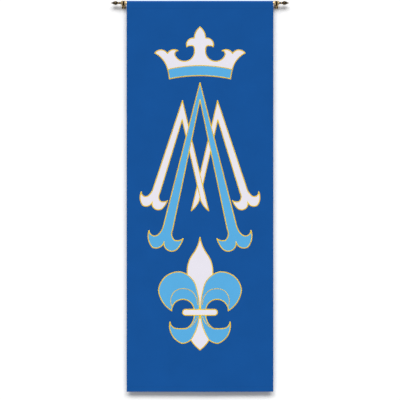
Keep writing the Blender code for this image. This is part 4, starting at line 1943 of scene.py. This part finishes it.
@dataclass
class Studio:
    """A white wall, a pale floor, soft light from above the front, and the camera.

    Args:
        foot: The height of the banner's foot, in metres.
        face: The y of the banner's face, in metres.
        view_height: How much of the height the camera sees at the face, in metres.
        view_centre: The height of the camera above the foot, in metres.
        lens, sensor: The camera's focal length and its sensor's width.
        wall_gap: How far the wall is behind the frame's origin, in metres.
        floor_drop: How far the floor is below the foot, in metres.
        extent: How far the room reaches, in metres.
        ambient: The strength of the light from all round.
    """

    foot: float
    face: float
    view_height: float = 2.493
    view_centre: float = 1.1953
    lens: float = 120.0
    sensor: float = 36.0
    wall_gap: float = 0.0005
    floor_drop: float = 0.42
    extent: float = 9.0
    ambient: float = 0.38

    def _sheet(
        self, name: str, corners: Sequence[Sequence[float]], finish: StagePaint
    ) -> bpy.types.Object:
        """One flat stretch of the room."""
        mesh = bpy.data.meshes.new(name)
        mesh.from_pydata(corners, [], [(0, 1, 2, 3)])
        sheet = linked(name, mesh, finish.build())
        return sheet

    def add_room(self) -> None:
        """Makes the wall and the floor."""
        side, ground = self.extent, self.foot - self.floor_drop
        wall = [(-side, ground), (side, ground), (side, side), (-side, side)]
        corners = [(x, self.wall_gap, z) for x, z in wall]
        paint = StagePaint("studio_wall_paint", (0.97, 0.97, 0.97))
        self._sheet("studio_wall", corners, paint).visible_shadow = False
        floor = [(-side, -side), (side, -side), (side, self.wall_gap), (-side, self.wall_gap)]
        corners = [(x, y, ground) for x, y in floor]
        paint = StagePaint("studio_floor_paint", (0.8, 0.8, 0.79))
        self._sheet("studio_floor", corners, paint).visible_diffuse = False

    def add_camera(self) -> None:
        """Makes the camera, square to the banner with a long lens."""
        data = bpy.data.cameras.new("camera")
        data.lens = self.lens
        data.sensor_width = self.sensor
        data.clip_end = 100.0
        camera = bpy.data.objects.new("camera", data)
        away = self.view_height * self.lens / self.sensor
        camera.location = (0.0, self.face - away, self.foot + self.view_centre)
        camera.rotation_euler = (math.pi / 2, 0.0, 0.0)
        bpy.context.scene.collection.objects.link(camera)
        bpy.context.scene.camera = camera

    @staticmethod
    def _sun(name: str, power: float, spread: float, height: float, turn: float) -> None:
        """One even, soft light.

        Args:
            name: Its name.
            power: Its strength.
            spread: Its apparent size, in degrees.
            height: Its angle above level, in degrees.
            turn: Its angle round the banner from the front, in degrees.
        """
        data = bpy.data.lights.new(name, "SUN")
        data.energy = power
        data.angle = math.radians(spread)
        light = bpy.data.objects.new(name, data)
        light.rotation_euler = (math.radians(90 - height), 0.0, math.radians(turn))
        bpy.context.scene.collection.objects.link(light)

    def add_light(self) -> None:
        """Makes the lights and the pale surroundings."""
        for side in Side:
            turn = 18 * side.value
            self._sun(f"key_{side.label}", power=1.6, spread=27, height=42.5, turn=turn)
        self._sun("back", power=0.8, spread=60, height=35, turn=160)
        world = bpy.data.worlds.new("studio")
        world.use_nodes = True
        shade = world.node_tree.nodes["Background"]
        shade.inputs["Color"].default_value = (1.0, 1.0, 1.0, 1.0)
        shade.inputs["Strength"].default_value = self.ambient
        bpy.context.scene.world = world
        bpy.context.scene.view_settings.view_transform = "Standard"

    def build(self) -> None:
        """Makes the room, the camera and the lights."""
        self.add_room()
        self.add_camera()
        self.add_light()


def make_finishes() -> dict[Slot, bpy.types.Material]:
    """The material of each slot."""
    return {
        Slot.BLUE: WovenCloth("royal_blue_weave", (0.0072, 0.078, 0.290), shine=0.04).build(),
        Slot.WHITE: WovenCloth("white_weave", (0.745, 0.722, 0.795), 0.6, 0.08, 0.015).build(),
        Slot.SKY: WovenCloth("sky_blue_weave", (0.092, 0.387, 0.700), 0.6, 0.08, 0.03).build(),
        Slot.GOLD: GoldThread().build(),
        Slot.BRASS: AgedBrass("aged_brass_metal").build(),
    }


def main() -> None:
    """Builds the banner round the frame."""
    logging.basicConfig(level=logging.INFO, format="%(name)s: %(message)s")
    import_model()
    low, high = (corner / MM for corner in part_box("banner_panel"))
    rod_low, rod_high = (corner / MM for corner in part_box("rod"))
    work_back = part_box("crown_body")[1].y / MM
    finishes = make_finishes()
    hang = Hang(face=work_back + PIECE_GAP, top=high.z - low.z - FLAT_DROP, foot=low.z)
    cloth = BannerCloth(
        hang=hang,
        width=high.x - low.x,
        height=high.z - low.z,
        axis=(rod_low.y + rod_high.y) / 2,
        finish=finishes[Slot.BLUE],
    )
    panel = cloth.build()
    seams = cloth.seams(SewingThread("blue_sewing_thread", (0.006, 0.05, 0.19)).build())
    motifs = AppliedWork(hang, finishes).build()
    cloth.width * MM
    dark = AgedBrass("dark_finial_brass", patina=1.3).build()
    # The screws' brass has far more patina than the rest: partly their own dark patina, partly painted
    # shade on the screw heads.
    darkest = AgedBrass("dark_screw_brass", patina=2.2).build()
    WallRod(finishes[Slot.BRASS], dark, darkest).build()
    Studio(foot=low.z * MM, face=hang.face * MM).build()


if __name__ == "__main__":
    main()
